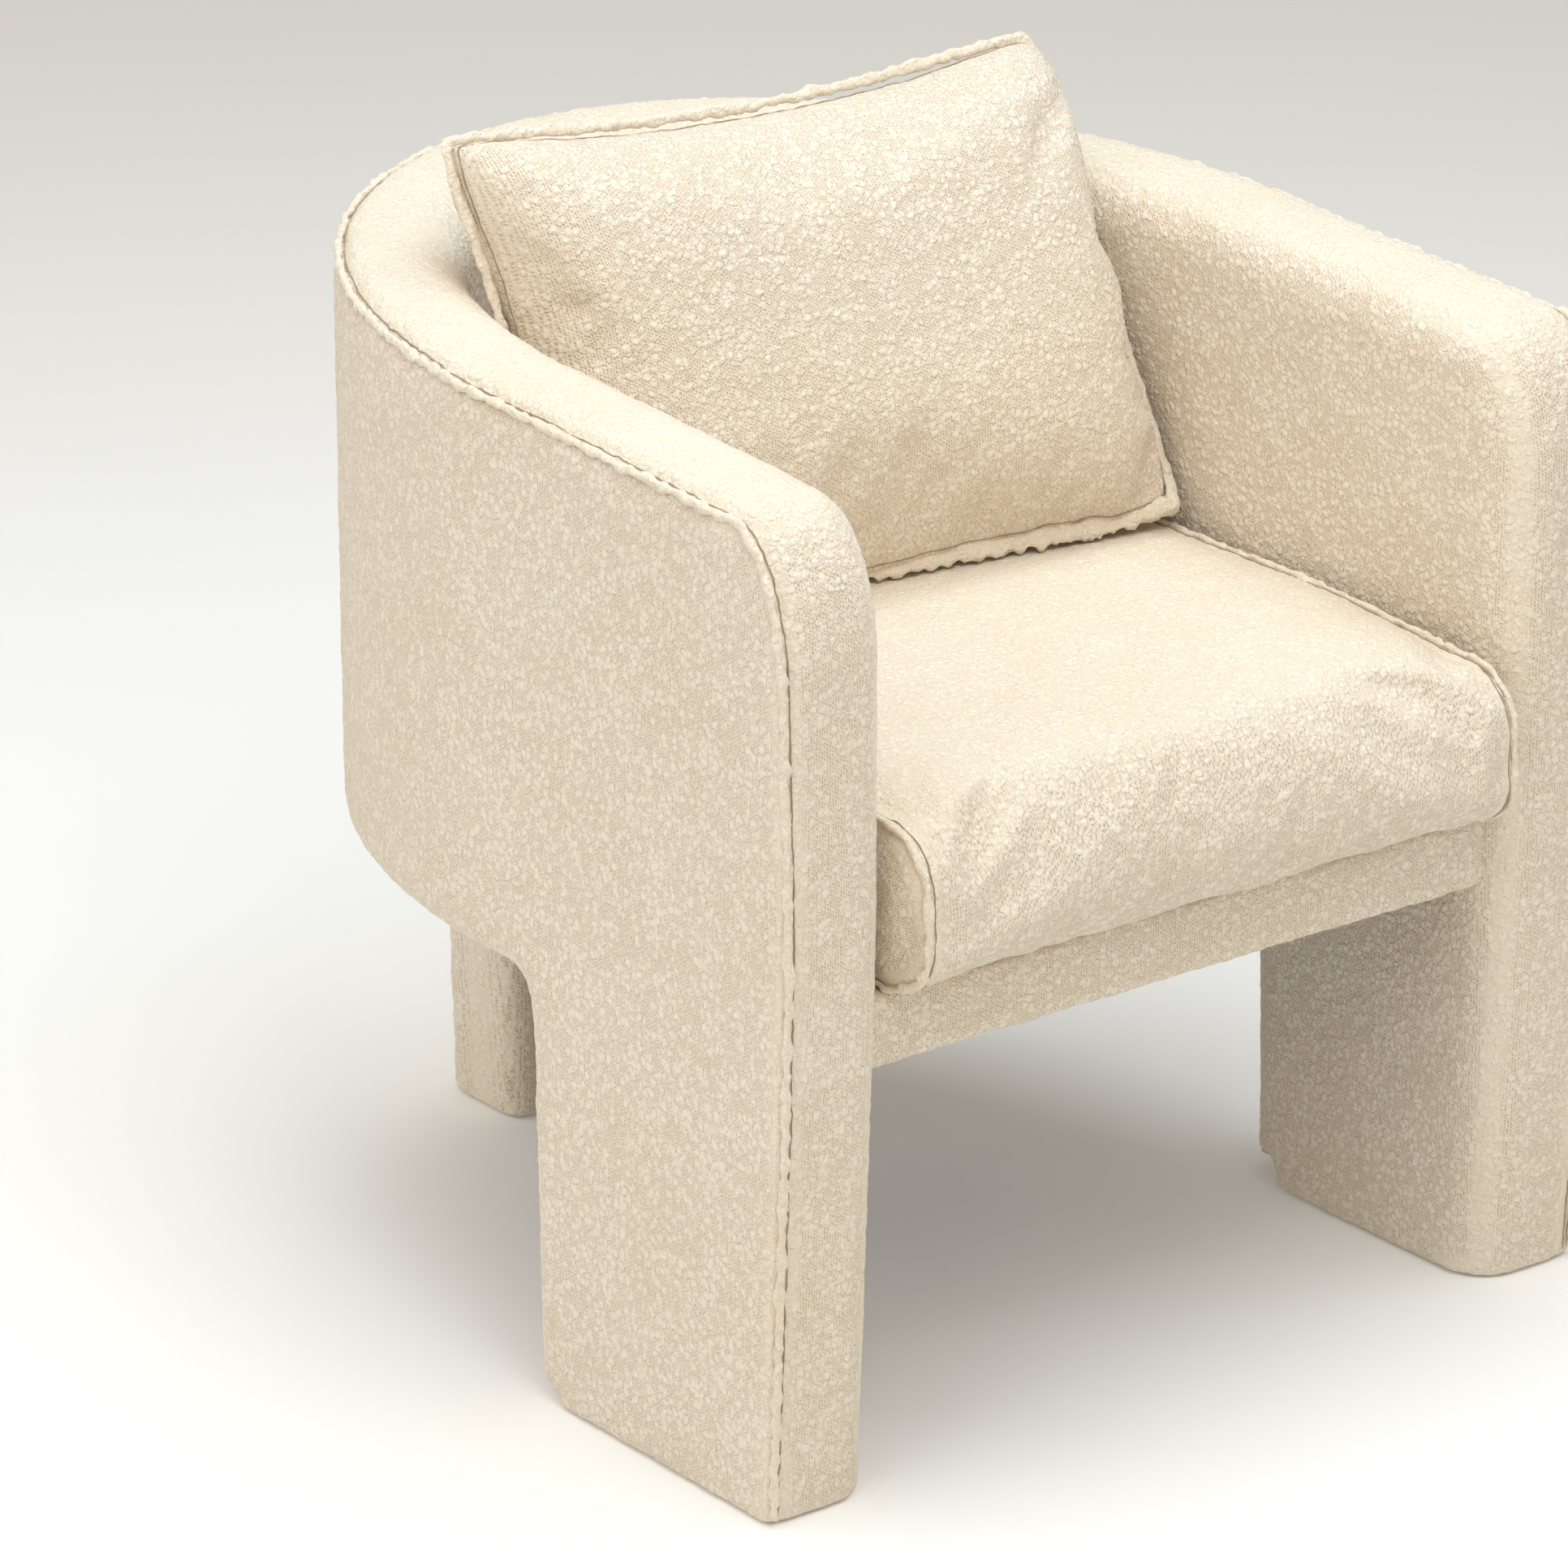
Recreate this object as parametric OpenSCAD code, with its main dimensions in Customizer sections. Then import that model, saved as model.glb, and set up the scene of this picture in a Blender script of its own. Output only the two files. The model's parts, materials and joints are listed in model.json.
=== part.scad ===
// Upholstered tub armchair on three padded panel legs, with a loose seat cushion and a loose back pillow.
// Frame: +Z up, the chair faces -Y. The origin is on the floor, under the middle of the chair's outer box.

/* [Overall size] */
// Width over the outside of the arms
width = 740; // [700:10:800]
// Depth from the front of the legs to the back
depth = 795; // [770:5:830]
// Height of the top edge at the back
back_h = 755; // [730:5:790]
// How far the top edge falls from the back to the front
arm_drop = 40; // [20:5:50]
// Thickness of the padded wall
wall = 96; // [92:1:104]
// Length of the straight part of the arms
arm_len = 343; // [325:1:360]

/* [Front of the arms and legs] */
// Depth of a front leg at the floor
leg_depth = 292; // [270:2:300]
// How far the front of the leg leans back at the floor
leg_lean = 18; // [10:1:24]
// How far the rear edge of a leg leans out below the shell
leg_flare = 8; // [4:1:12]
// Depth of the rounding at the top front of the arm
roll_y = 70; // [55:5:85]
// Height of the rounding at the top front of the arm
roll_z = 112; // [90:2:130]
// Radius of the arm's inner front edge
edge_r = 34; // [30:1:40]
// Height of the shell's underside above the floor
shell_z = 310; // [300:2:320]
// Radius where the shell's underside meets a front leg
leg_fillet = 26; // [20:1:32]

/* [Rear leg] */
// Half the width of the rear leg at the floor
rear_leg_half = 102; // [90:2:114]

/* [Seat cushion] */
// Underside of the cushion above the floor
cushion_z = 362; // [362:1:364]
// Thickness of the cushion
cushion_h = 130; // [120:2:136]
// How far the cushion stands out in front of the legs
cushion_overhang = 14; // [8:1:18]

/* [Back pillow] */
// Width of the pillow between its side seams
pillow_w = 512; // [490:2:516]
// Height of the pillow between its seams
pillow_h = 346; // [330:2:356]
// Thickness of the pillow in its middle
pillow_t = 150; // [130:5:160]
// Lean of the pillow from upright
pillow_tilt = 18; // [14:1:20]

/* [Hidden] */

// Colours
boucle = [0.90, 0.85, 0.75];
boucle_shade = [0.84, 0.78, 0.68];
foam = [0.93, 0.90, 0.78];
wadding = [0.95, 0.95, 0.93];
plywood = [0.80, 0.66, 0.46];
beech = [0.76, 0.58, 0.38];
steel = [0.62, 0.63, 0.65];
hessian = [0.66, 0.54, 0.36];
black_cloth = [0.13, 0.13, 0.14];

// Outline of the chair
half_w = width / 2;
back_reach = depth - arm_len; // how far the curved back reaches behind the straight arms
front_room = 60; // how far plan shapes run past the front before the side profile cuts them
back_steps = 48;
roll_steps = 10;
lean_top = 400; // height where the front leg's lean starts
mid_y = (depth - cushion_overhang) / 2;
tall = back_h + 60;

// Layers through the padded wall, from the outside in
cover_t = 3;
welt_proud = 2;
outer_pad = 10; // the frame's outside face lies this far in
inner_pad = 20; // the frame's inside face lies this far in from the inner side
front_pad = 14;
top_pad = 14;
base_pad = 8;
panel_t = 12;
outer_ply = outer_pad + panel_t;
inner_ply = wall - inner_pad - panel_t;
frame_in = wall - inner_pad;

// Feet
foot_gap = 5; // height of the glides, so also of the covered leg ends above the floor
glide_d = 24;
glide_pin_d = 4;
glide_pin_l = 22;

// Frame timber
rib_t = 18;
post_w = 32;
stud_y = 40;
mid_rib_z = 470;
rear_frame_top = 560;
rail_t = 24;
rail_top = 344;
rail_back = 38; // thickness of the seat rails at the sides and back
rail_front_y = 38; // front face of the wooden front rail
front_cover_y = rail_front_y - 8;
rail_cover_z = 306;
dust_t = 1.2;
pocket_low = shell_z - dust_t - 0.3;

// Seat suspension
spring_count = 5;
spring_gap = 88;
spring_wire = 3.8;
spring_pitch = 44;
spring_amp = 19;
spring_z = rail_top + spring_wire / 2 + 0.2;
wire_sides = 6;
cloth_z = rail_top + 5.5;
cloth_t = 1.5;
deck_pad_t = 8;
deck_t = 2;

// Loose cushion and pillow
cushion_gap = 5;
cushion_corner_r = 26;
wrap_t = 18;
zip_len = 380;
zip_w = 26;
zip_y = 560;
zip_depth = 6;
flange = 8;
pillow_steps = 20;
pillow_pull_x = 20; // how far the sides pull in between the corners
pillow_pull_top = 14;
pillow_pull_base = 4;
pillow_front_y = 386;
pillow_clear = 2;
pillow_zip_len = 340;

module placed() {
    translate([0, -mid_y, 0]) children();
}

// ---- Outline helpers ----

// The curved back in plan, inset by k, from the left arm round to the right arm
function back_curve(k) = [
    for (i = [0:back_steps])
        let (t = 180 * i / back_steps)
        [-(half_w - k) * cos(t), arm_len + (back_reach - k) * sin(t)]
];

// The chair's whole outline in plan, inset by k and left open past the front
module outline(k) {
    polygon(concat([[half_w - k, -front_room], [-(half_w - k), -front_room]], back_curve(k)));
}

function top_z(y) = back_h - arm_drop * (1 - y / depth);

// Side view of an arm, leg and back, inset by f in front, t on top, b below and r at the leg's rear edge
function side_points(f, t, b, r) = concat(
    [[leg_lean + f, foot_gap + b], [f, lean_top]],
    [
        for (i = [0:roll_steps])
            let (a = 90 * i / roll_steps)
            [roll_y - (roll_y - f) * cos(a), top_z(roll_y) - roll_z + (roll_z - t) * sin(a)]
    ],
    [[depth + 20, top_z(depth + 20) - t], [depth + 20, shell_z + b]],
    [
        for (i = [0:roll_steps])
            let (a = 90 + 90 * i / roll_steps)
            [
                leg_depth + leg_flare + leg_fillet + (leg_fillet + r) * cos(a),
                shell_z - leg_fillet + (leg_fillet + b) * sin(a)
            ]
    ],
    [[leg_depth - r, foot_gap + b]]
);

module side_slab(f, t, b, r) {
    rotate([90, 0, 90])
        linear_extrude(height = width + 40, center = true)
            polygon(side_points(f, t, b, r));
}

// What the rounded inner front edge takes off the wall in plan, for a wall inset by i
module edge_cut(i) {
    for (side = [-1, 1])
        translate([side * (half_w - wall + edge_r), edge_r])
            difference() {
                translate([side < 0 ? 0 : -2 * edge_r, -2 * front_room])
                    square([2 * edge_r, 2 * front_room]);
                circle(r = edge_r - i, $fn = 48);
            }
}

// The padded wall with its front legs, inset by o outside, i inside, f in front, t on top, b below and
// r at the rear edge of the front legs
module wall_body(o, i, f, t, b, r) {
    intersection() {
        linear_extrude(height = tall)
            difference() {
                outline(o);
                outline(wall - i);
                if (i < edge_r)
                    edge_cut(i);
            }
        side_slab(f, t, b, r);
    }
}

// One layer of the wooden frame, between two depths through the wall
module frame_layer(near, far) {
    wall_body(near, wall - far, front_pad, top_pad, base_pad, front_pad);
}

// The room that the whole wooden frame takes up inside the padding
module frame_room() {
    frame_layer(outer_pad, frame_in);
}

// Boxes that pick one region of the wall
module side_region(side, low = 0, high = tall) {
    translate([side < 0 ? -width : 0, -front_room, low])
        cube([width, front_room + arm_len, high - low]);
}

module back_region() {
    translate([-width, arm_len, 0]) cube([2 * width, depth, tall]);
}

// The space under the cushion where the seat frame meets the inside of the wooden panels
module seat_pocket() {
    translate([0, 0, pocket_low])
        linear_extrude(height = cushion_z - 0.5 - pocket_low)
            intersection() {
                outline(frame_in);
                translate([-width, front_cover_y]) square([2 * width, depth]);
            }
}

// ---- Wooden frame ----

module outer_panel(side) {
    color(plywood) placed()
        intersection() {
            frame_layer(outer_pad, outer_ply);
            side_region(side);
        }
}

module inner_panel(side) {
    color(plywood) placed()
        intersection() {
            frame_layer(inner_ply, frame_in);
            side_region(side);
        }
}

module left_outer_panel() { outer_panel(-1); }

module right_outer_panel() { outer_panel(1); }

module left_inner_panel() { inner_panel(-1); }

module right_inner_panel() { inner_panel(1); }

module back_outer_panel() {
    color(plywood) placed()
        intersection() {
            frame_layer(outer_pad, outer_ply);
            back_region();
        }
}

module back_inner_panel() {
    color(plywood) placed()
        intersection() {
            frame_layer(inner_ply, frame_in);
            back_region();
        }
}

// Posts between the two panels of each front leg and arm
module stud_volume() {
    for (y = [front_pad, leg_depth - front_pad - stud_y])
        intersection() {
            wall_body(outer_ply, wall - inner_ply, front_pad, top_pad + rib_t, base_pad, front_pad);
            translate([-width, y - (y == front_pad ? front_room : 0), 0])
                cube([2 * width, stud_y + (y == front_pad ? front_room : 0), tall]);
        }
}

module front_leg_studs() {
    color(beech) placed() stud_volume();
}

// The room of the rear leg's frame, which stands up into the back
module rear_leg_room(near, far, low, high) {
    translate([0, 0, low])
        linear_extrude(height = high - low)
            intersection() {
                difference() {
                    outline(near);
                    outline(far);
                }
                translate([-rear_leg_half + front_pad, arm_len])
                    square([2 * (rear_leg_half - front_pad), depth]);
            }
}

module rear_leg_panel(near) {
    color(plywood) placed()
        rear_leg_room(near, near + panel_t, foot_gap + base_pad, rear_frame_top);
}

module rear_leg_outer_panel() { rear_leg_panel(outer_ply); }

module rear_leg_inner_panel() { rear_leg_panel(inner_ply - panel_t); }

module rear_leg_studs() {
    color(beech) placed()
        difference() {
            rear_leg_room(outer_ply + panel_t, inner_ply - panel_t, foot_gap + base_pad, rear_frame_top);
            translate([-rear_leg_half + front_pad + post_w, arm_len, 0])
                cube([2 * (rear_leg_half - front_pad - post_w), depth, tall]);
        }
}

// A flat curved rib between the panels, with its top this far under the wall's top or at this height
module level_rib(z) {
    difference() {
        intersection() {
            frame_layer(outer_ply, inner_ply);
            translate([-width, leg_depth - front_pad, z]) cube([2 * width, depth, rib_t]);
        }
        rear_leg_room(outer_ply - 1, inner_ply + 1, z - 1, z + rib_t + 1);
    }
}

module sloped_rib() {
    intersection() {
        difference() {
            frame_layer(outer_ply, inner_ply);
            wall_body(0, 0, -front_room / 2, top_pad + rib_t, -1, 0);
        }
        translate([-width, roll_y, 0]) cube([2 * width, depth, tall]);
    }
}

module top_rib() {
    color(plywood) placed() sloped_rib();
}

module middle_rib() {
    color(plywood) placed() level_rib(mid_rib_z);
}

module bottom_rib() {
    color(plywood) placed() level_rib(shell_z + base_pad);
}

// Posts in the curved back, standing between the ribs
module back_uprights() {
    color(beech) placed()
        difference() {
            intersection() {
                wall_body(outer_ply, wall - inner_ply, front_pad, top_pad + rib_t, base_pad + rib_t, 0);
                for (turn = [8, 32, 60, 120, 148, 172])
                    translate([0, arm_len, 0])
                        rotate([0, 0, turn])
                            translate([0, -post_w / 2, 0]) cube([depth, post_w, tall]);
            }
            level_rib(mid_rib_z);
        }
}

// ---- Seat frame ----

rail_half = half_w - frame_in;

module front_rail() {
    color(beech) placed()
        translate([-rail_half, rail_front_y, rail_cover_z + base_pad])
            cube([2 * rail_half, rail_t, rail_top - rail_cover_z - base_pad]);
}

module side_rail(side) {
    color(beech) placed()
        translate([side < 0 ? -rail_half : rail_half - rail_back, rail_front_y + rail_t, shell_z])
            cube([rail_back, arm_len - rail_front_y - rail_t, rail_top - shell_z]);
}

module left_seat_rail() { side_rail(-1); }

module right_seat_rail() { side_rail(1); }

module back_seat_rail() {
    color(beech) placed()
        translate([0, 0, shell_z])
            linear_extrude(height = rail_top - shell_z)
                intersection() {
                    difference() {
                        outline(frame_in);
                        outline(frame_in + rail_back);
                    }
                    translate([-width, arm_len]) square([2 * width, depth]);
                }
}

block_leg = 62; // legs of the triangular corner blocks

module corner_blocks() {
    color(beech) placed()
        for (side = [-1, 1])
            translate([side * (rail_half - rail_back), rail_front_y + rail_t, shell_z + 2])
                linear_extrude(height = rail_top - shell_z - 4)
                    polygon([[0, 0], [-side * block_leg, 0], [0, block_leg]]);
}

screw_d = 4;
screw_head_d = 8;
screw_l = 48;

// A countersunk wood screw lying along +X with its head's face at the origin
module wood_screw() {
    rotate([0, 90, 0]) {
        cylinder(d1 = screw_head_d, d2 = screw_d, h = 3, $fn = 24);
        cylinder(d = screw_d, h = screw_l, $fn = 24);
    }
}

// Screws through the side rails and the ends of the front rail into the panels
module frame_screws() {
    color(steel) placed()
        for (side = [-1, 1])
            for (y = [130, 210, 290])
                translate([side * (rail_half - rail_back), y, (shell_z + rail_top) / 2])
                    mirror([side < 0 ? 1 : 0, 0, 0]) wood_screw();
}

// ---- Seat suspension ----

// Where the back rail's inner face crosses a spring's line
function rail_reach(x) =
    arm_len + (back_reach - frame_in - rail_back) * sqrt(1 - pow(x / (half_w - frame_in - rail_back), 2));

spring_start = rail_front_y + rail_t - 8;

// A zigzag spring's centre line: a wave across, with its bends drawn out round along the run
function spring_point(x, length, u) =
    let (bends = round(length / spring_pitch), turn = 360 * bends * u)
    [
        x + spring_amp * sin(turn),
        spring_start + length * u - spring_pitch / 9 * sin(2 * turn),
        spring_z
    ];

function unit(v) = v / norm(v);

// A round wire along points that lie in one level plane
module level_wire(points, d) {
    last = len(points) - 1;
    rings = [
        for (i = [0:last])
            let (
                ahead = unit(points[min(i + 1, last)] - points[max(i - 1, 0)]),
                across = [ahead.y, -ahead.x, 0]
            )
            for (s = [0:wire_sides - 1])
                points[i] + d / 2 * (cos(360 * s / wire_sides) * across + [0, 0, sin(360 * s / wire_sides)])
    ];
    walls = [
        for (i = [0:last - 1])
            for (s = [0:wire_sides - 1])
                let (next = (s + 1) % wire_sides, a = i * wire_sides, b = (i + 1) * wire_sides)
                [a + s, b + s, b + next, a + next]
    ];
    start_cap = [[for (s = [0:wire_sides - 1]) s]];
    end_cap = [[for (s = [wire_sides - 1:-1:0]) last * wire_sides + s]];
    polyhedron(rings, concat(walls, start_cap, end_cap), convexity = 10);
}

function spring_x(i) = (i - (spring_count - 1) / 2) * spring_gap;

function spring_length(x) = rail_reach(x) + 8 - spring_start;

module seat_springs() {
    color(steel) placed()
        for (i = [0:spring_count - 1])
            let (x = spring_x(i), length = spring_length(x), steps = 7 * round(length / spring_pitch))
            level_wire([for (k = [0:steps]) spring_point(x, length, k / steps)], spring_wire);
}

clip_w = 24;
clip_l = 14;
clip_t = 1;
clip_rise = spring_wire + 0.4;

// A bent steel clip that holds a spring's end down on a rail, drawn from its foot towards +Y
module spring_clip() {
    translate([-clip_w / 2, 0, clip_rise]) cube([clip_w, clip_l, clip_t]);
    translate([-clip_w / 2, 0, 0]) cube([clip_w, clip_t, clip_rise + clip_t]);
}

module spring_clips() {
    color(steel) placed()
        for (i = [0:spring_count - 1]) {
            translate([spring_x(i), spring_start - 6, rail_top]) spring_clip();
            translate([spring_x(i), rail_reach(spring_x(i)) + 12, rail_top]) mirror([0, 1, 0]) spring_clip();
        }
}

// A level sheet over the seat frame, inset from the frame's inner faces
module seat_sheet(inset, low, thick, front) {
    translate([0, 0, low])
        linear_extrude(height = thick)
            intersection() {
                outline(frame_in + inset);
                translate([-width, front]) square([2 * width, depth]);
            }
}

module spring_cloth() {
    color(hessian) placed() seat_sheet(4, cloth_z, cloth_t, rail_front_y);
}

module deck_pad() {
    color(foam) placed() seat_sheet(1, cloth_z + cloth_t, deck_pad_t, rail_front_y);
}

module deck_cover() {
    color(boucle_shade) placed() seat_sheet(1, cloth_z + cloth_t + deck_pad_t, deck_t, rail_front_y);
}

dust_front = rail_front_y + rail_t + 2;

// The cloth under the seat, cut out round the top of the rear leg
module dust_cover() {
    reach = rear_leg_half + leg_flare + 2;
    color(black_cloth) placed()
        difference() {
            seat_sheet(2, shell_z - dust_t, dust_t, dust_front);
            translate([0, 0, shell_z - 2 * dust_t])
                linear_extrude(height = 4 * dust_t)
                    difference() {
                        translate([-reach, arm_len]) square([2 * reach, depth]);
                        outline(wall + 2);
                    }
        }
}

staple_w = 10;
staple_t = 0.7;

module staple() {
    translate([-staple_w / 2, -staple_t / 2, 0]) cube([staple_w, staple_t, staple_t]);
}

// Staples that hold the dust cover, along the front, both sides and round the back
module dust_cover_staples() {
    low = shell_z - dust_t - staple_t;
    inset = frame_in + rail_back - 8;
    color(steel) placed() {
        for (x = [-240:60:240])
            translate([x, dust_front + 6, low]) staple();
        for (side = [-1, 1])
            for (y = [dust_front + 30:55:arm_len])
                translate([side * (half_w - inset), y, low]) rotate([0, 0, 90]) staple();
        for (t = [12:13:168])
            translate([-(half_w - inset) * cos(t), arm_len + (back_reach - inset) * sin(t), low])
                rotate([0, 0, 90 - t]) staple();
    }
}

// ---- Padding ----

module wall_padding() {
    difference() {
        wall_body(cover_t, cover_t, cover_t, cover_t, cover_t, cover_t);
        frame_room();
        seat_pocket();
    }
}

leg_split = shell_z - 2;

module arm_padding(side) {
    color(foam) placed()
        intersection() {
            wall_padding();
            side_region(side, leg_split);
        }
}

module leg_padding(side) {
    color(foam) placed()
        intersection() {
            wall_padding();
            side_region(side, 0, leg_split);
        }
}

module left_arm_padding() { arm_padding(-1); }

module right_arm_padding() { arm_padding(1); }

module left_leg_padding() { leg_padding(-1); }

module right_leg_padding() { leg_padding(1); }

module back_padding() {
    color(foam) placed()
        difference() {
            intersection() {
                wall_padding();
                back_region();
            }
            rear_leg_room(outer_ply, inner_ply, 0, shell_z + base_pad);
        }
}

// The rear leg's outside below the shell, inset by k, narrowing a little towards the floor
module rear_leg_body(k) {
    intersection() {
        translate([0, 0, foot_gap + k])
            linear_extrude(height = shell_z - foot_gap - k)
                difference() {
                    outline(k);
                    outline(wall - k);
                }
        rotate([90, 0, 0])
            linear_extrude(height = 4 * depth, center = true)
                polygon([
                    [-rear_leg_half + k, 0], [-rear_leg_half - leg_flare + k, shell_z],
                    [rear_leg_half + leg_flare - k, shell_z], [rear_leg_half - k, 0]
                ]);
        translate([-width, arm_len, 0]) cube([2 * width, depth, tall]);
    }
}

module rear_leg_padding() {
    color(foam) placed()
        difference() {
            rear_leg_body(cover_t);
            rear_leg_room(outer_ply, inner_ply, foot_gap + base_pad, tall);
        }
}

module rear_leg_cover() {
    color(boucle_shade) placed()
        difference() {
            rear_leg_body(0);
            rear_leg_body(cover_t);
            rear_leg_room(outer_ply, inner_ply, foot_gap + base_pad, tall);
        }
}

rail_cover_t = 2.5;
rail_cover_top = cloth_z;

// The front rail's upholstery, inset by k all round, between the arms' inner panels
module rail_wrap(k) {
    wrap_depth = rail_front_y + rail_t - front_cover_y;
    wrap_h = rail_cover_top - rail_cover_z;
    translate([-rail_half, front_cover_y + k, rail_cover_z + k])
        cube([2 * rail_half, wrap_depth - k, wrap_h - 2 * k]);
}

module rail_wood() {
    translate([-width, rail_front_y, rail_cover_z + base_pad]) cube([2 * width, depth, tall]);
}

// The wrap runs up past the inner side of the arms below the pocket, so it is kept between the covered legs
module between_legs() {
    translate([-half_w + wall, 0, 0]) cube([width - 2 * wall, depth, pocket_low]);
    translate([-rail_half, 0, pocket_low]) cube([2 * rail_half, depth, tall]);
}

module front_rail_padding() {
    color(foam) placed()
        intersection() {
            difference() {
                rail_wrap(rail_cover_t);
                rail_wood();
            }
            between_legs();
        }
}

module front_rail_cover() {
    color(boucle_shade) placed()
        intersection() {
            difference() {
                rail_wrap(0);
                rail_wrap(rail_cover_t);
                rail_wood();
            }
            between_legs();
        }
}

// ---- Covers ----

module outer_cover() {
    color(boucle_shade) placed() wall_body(0, wall - cover_t, cover_t, cover_t, 0, 0);
}

// One piece over the top, the front of the arms and legs, and down the inside
module inner_cover() {
    color(boucle) placed()
        difference() {
            wall_body(cover_t, 0, 0, 0, 0, 0);
            wall_body(cover_t - 1, cover_t, cover_t, cover_t, cover_t, cover_t);
            seat_pocket();
            rear_leg_room(outer_ply, inner_ply, 0, shell_z + base_pad);
        }
}

// The sewn welt along the outer edge, up the legs, over the arms and round the back
module edge_welt() {
    color(boucle) placed()
        difference() {
            wall_body(-welt_proud, wall - cover_t, -welt_proud, -welt_proud, 0, 0);
            side_slab(cover_t, cover_t, -front_pad, -front_pad);
        }
}

// ---- Glides ----

glide_spots = [
    for (side = [-1, 1])
        for (y = [leg_lean + front_pad + stud_y / 2, leg_depth - front_pad - stud_y / 2])
            [side * (half_w - (outer_ply + inner_ply) / 2), y]
];
rear_glide_x = rear_leg_half - front_pad - post_w / 2;
rear_glide_y = arm_len + (back_reach - (outer_ply + inner_ply) / 2) * sqrt(1 - pow(rear_glide_x / half_w, 2));

module glide() {
    cylinder(d1 = glide_d - 4, d2 = glide_d, h = 2, $fn = 40);
    translate([0, 0, 2]) cylinder(d = glide_d, h = foot_gap - 2, $fn = 40);
    translate([0, 0, foot_gap]) cylinder(d = glide_pin_d, h = glide_pin_l, $fn = 24);
}

module floor_glides() {
    color([0.3, 0.28, 0.26]) placed() {
        for (spot = glide_spots)
            translate([spot.x, spot.y, 0]) glide();
        for (side = [-1, 1])
            translate([side * rear_glide_x, rear_glide_y, 0]) glide();
    }
}

// ---- Seat cushion ----

// The cushion in plan, inset by k: straight sides, rounded front corners and a back that follows the wall
module cushion_plan(k) {
    inset = wall + cushion_gap + k;
    corner_x = half_w - inset - cushion_corner_r;
    corner_y = -cushion_overhang + k + cushion_corner_r;
    polygon(concat(
        back_curve(inset),
        [for (a = [0:-9:-90]) [corner_x, corner_y] + cushion_corner_r * [cos(a), sin(a)]],
        [for (a = [-90:-9:-180]) [-corner_x, corner_y] + cushion_corner_r * [cos(a), sin(a)]]
    ));
}

module cushion_block(k) {
    translate([0, 0, cushion_z + k])
        linear_extrude(height = cushion_h - 2 * k) cushion_plan(k);
}

// The recess in the underside that holds the zip
module zip_recess(extra) {
    translate([-zip_len / 2 - extra, zip_y - zip_w / 2 - extra, cushion_z - 1])
        cube([zip_len + 2 * extra, zip_w + 2 * extra, zip_depth + 1 + extra]);
}

module seat_cushion_cover() {
    color(boucle) placed()
        difference() {
            cushion_block(0);
            difference() {
                cushion_block(cover_t);
                zip_recess(cover_t);
            }
            zip_recess(0);
        }
}

module cushion_inside(k, extra) {
    difference() {
        cushion_block(k);
        zip_recess(extra);
    }
}

module seat_cushion_wrap() {
    color(wadding) placed()
        difference() {
            cushion_inside(cover_t, cover_t);
            cushion_inside(cover_t + wrap_t, cover_t + wrap_t);
        }
}

module seat_cushion_core() {
    color(foam) placed() cushion_inside(cover_t + wrap_t, cover_t + wrap_t);
}

tape_t = 1;
coil_w = 6;
coil_t = 1.5;
zip_top = cushion_z + zip_depth;

// A zip seen from its outside, drawn with its tape's underside at height 0 and its coil standing out below
module zip(length, tape_w, coil) {
    translate([-length / 2, -tape_w / 2, 0]) cube([length, tape_w, tape_t]);
    translate([-length / 2, -coil / 2, -coil_t]) cube([length, coil, coil_t]);
}

module seat_zip() {
    color(boucle_shade) placed()
        translate([0, zip_y, zip_top - tape_t]) zip(zip_len, zip_w, coil_w);
}

slider_l = 11;
slider_wall = 1.2;
slider_gap = 0.3;
pull_l = 16;

// A zip slider straddling a coil of this width, with its pull lying flat, drawn under the same tape
module zip_slider(coil) {
    low = -coil_t - slider_gap - slider_wall;
    body_w = coil + 2 * (slider_gap + slider_wall);
    difference() {
        translate([-slider_l / 2, -body_w / 2, low]) cube([slider_l, body_w, -slider_gap - low]);
        translate([-slider_l, -coil / 2 - slider_gap, -coil_t - slider_gap])
            cube([2 * slider_l, coil + 2 * slider_gap, coil_t + 1]);
    }
    translate([slider_l / 2, -body_w / 4, low]) cube([pull_l, body_w / 2, slider_wall]);
}

slider_start = zip_len / 2 - 30;

module seat_zip_slider() {
    color(steel) placed()
        translate([-slider_start, zip_y, zip_top - tape_t]) zip_slider(coil_w);
}

// ---- Back pillow ----

// Puts a flat pillow, drawn with its width along X, its height along Y and its back down, in its place
module pillow_place() {
    translate([0, pillow_front_y, cushion_z + cushion_h + pillow_clear + flange])
        rotate([90 - pillow_tilt, 0, 0]) children();
}

// How far the outline is drawn in at this share of the way across or up, from -1 to 1
function pull(share, most) = most * (1 - share * share);

// One point of the pillow's face: u and v run from -1 to 1, grow adds all round, side is 1 for the front
function pillow_point(u, v, grow, side) = [
    u * (pillow_w / 2 + grow - pull(v, pillow_pull_x)),
    pillow_h / 2 + v * (pillow_h / 2 + grow - pull(u, v > 0 ? pillow_pull_top : pillow_pull_base)),
    side * ((pillow_t / 2 - 2) * pow((1 - pow(abs(u), 2.4)) * (1 - pow(abs(v), 2.4)), 0.6) + 2) + side * grow
];

// Spreads the steps so that they are closer together near the seams
function eased(i) = sin(90 * (2 * i / pillow_steps - 1));

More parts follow.
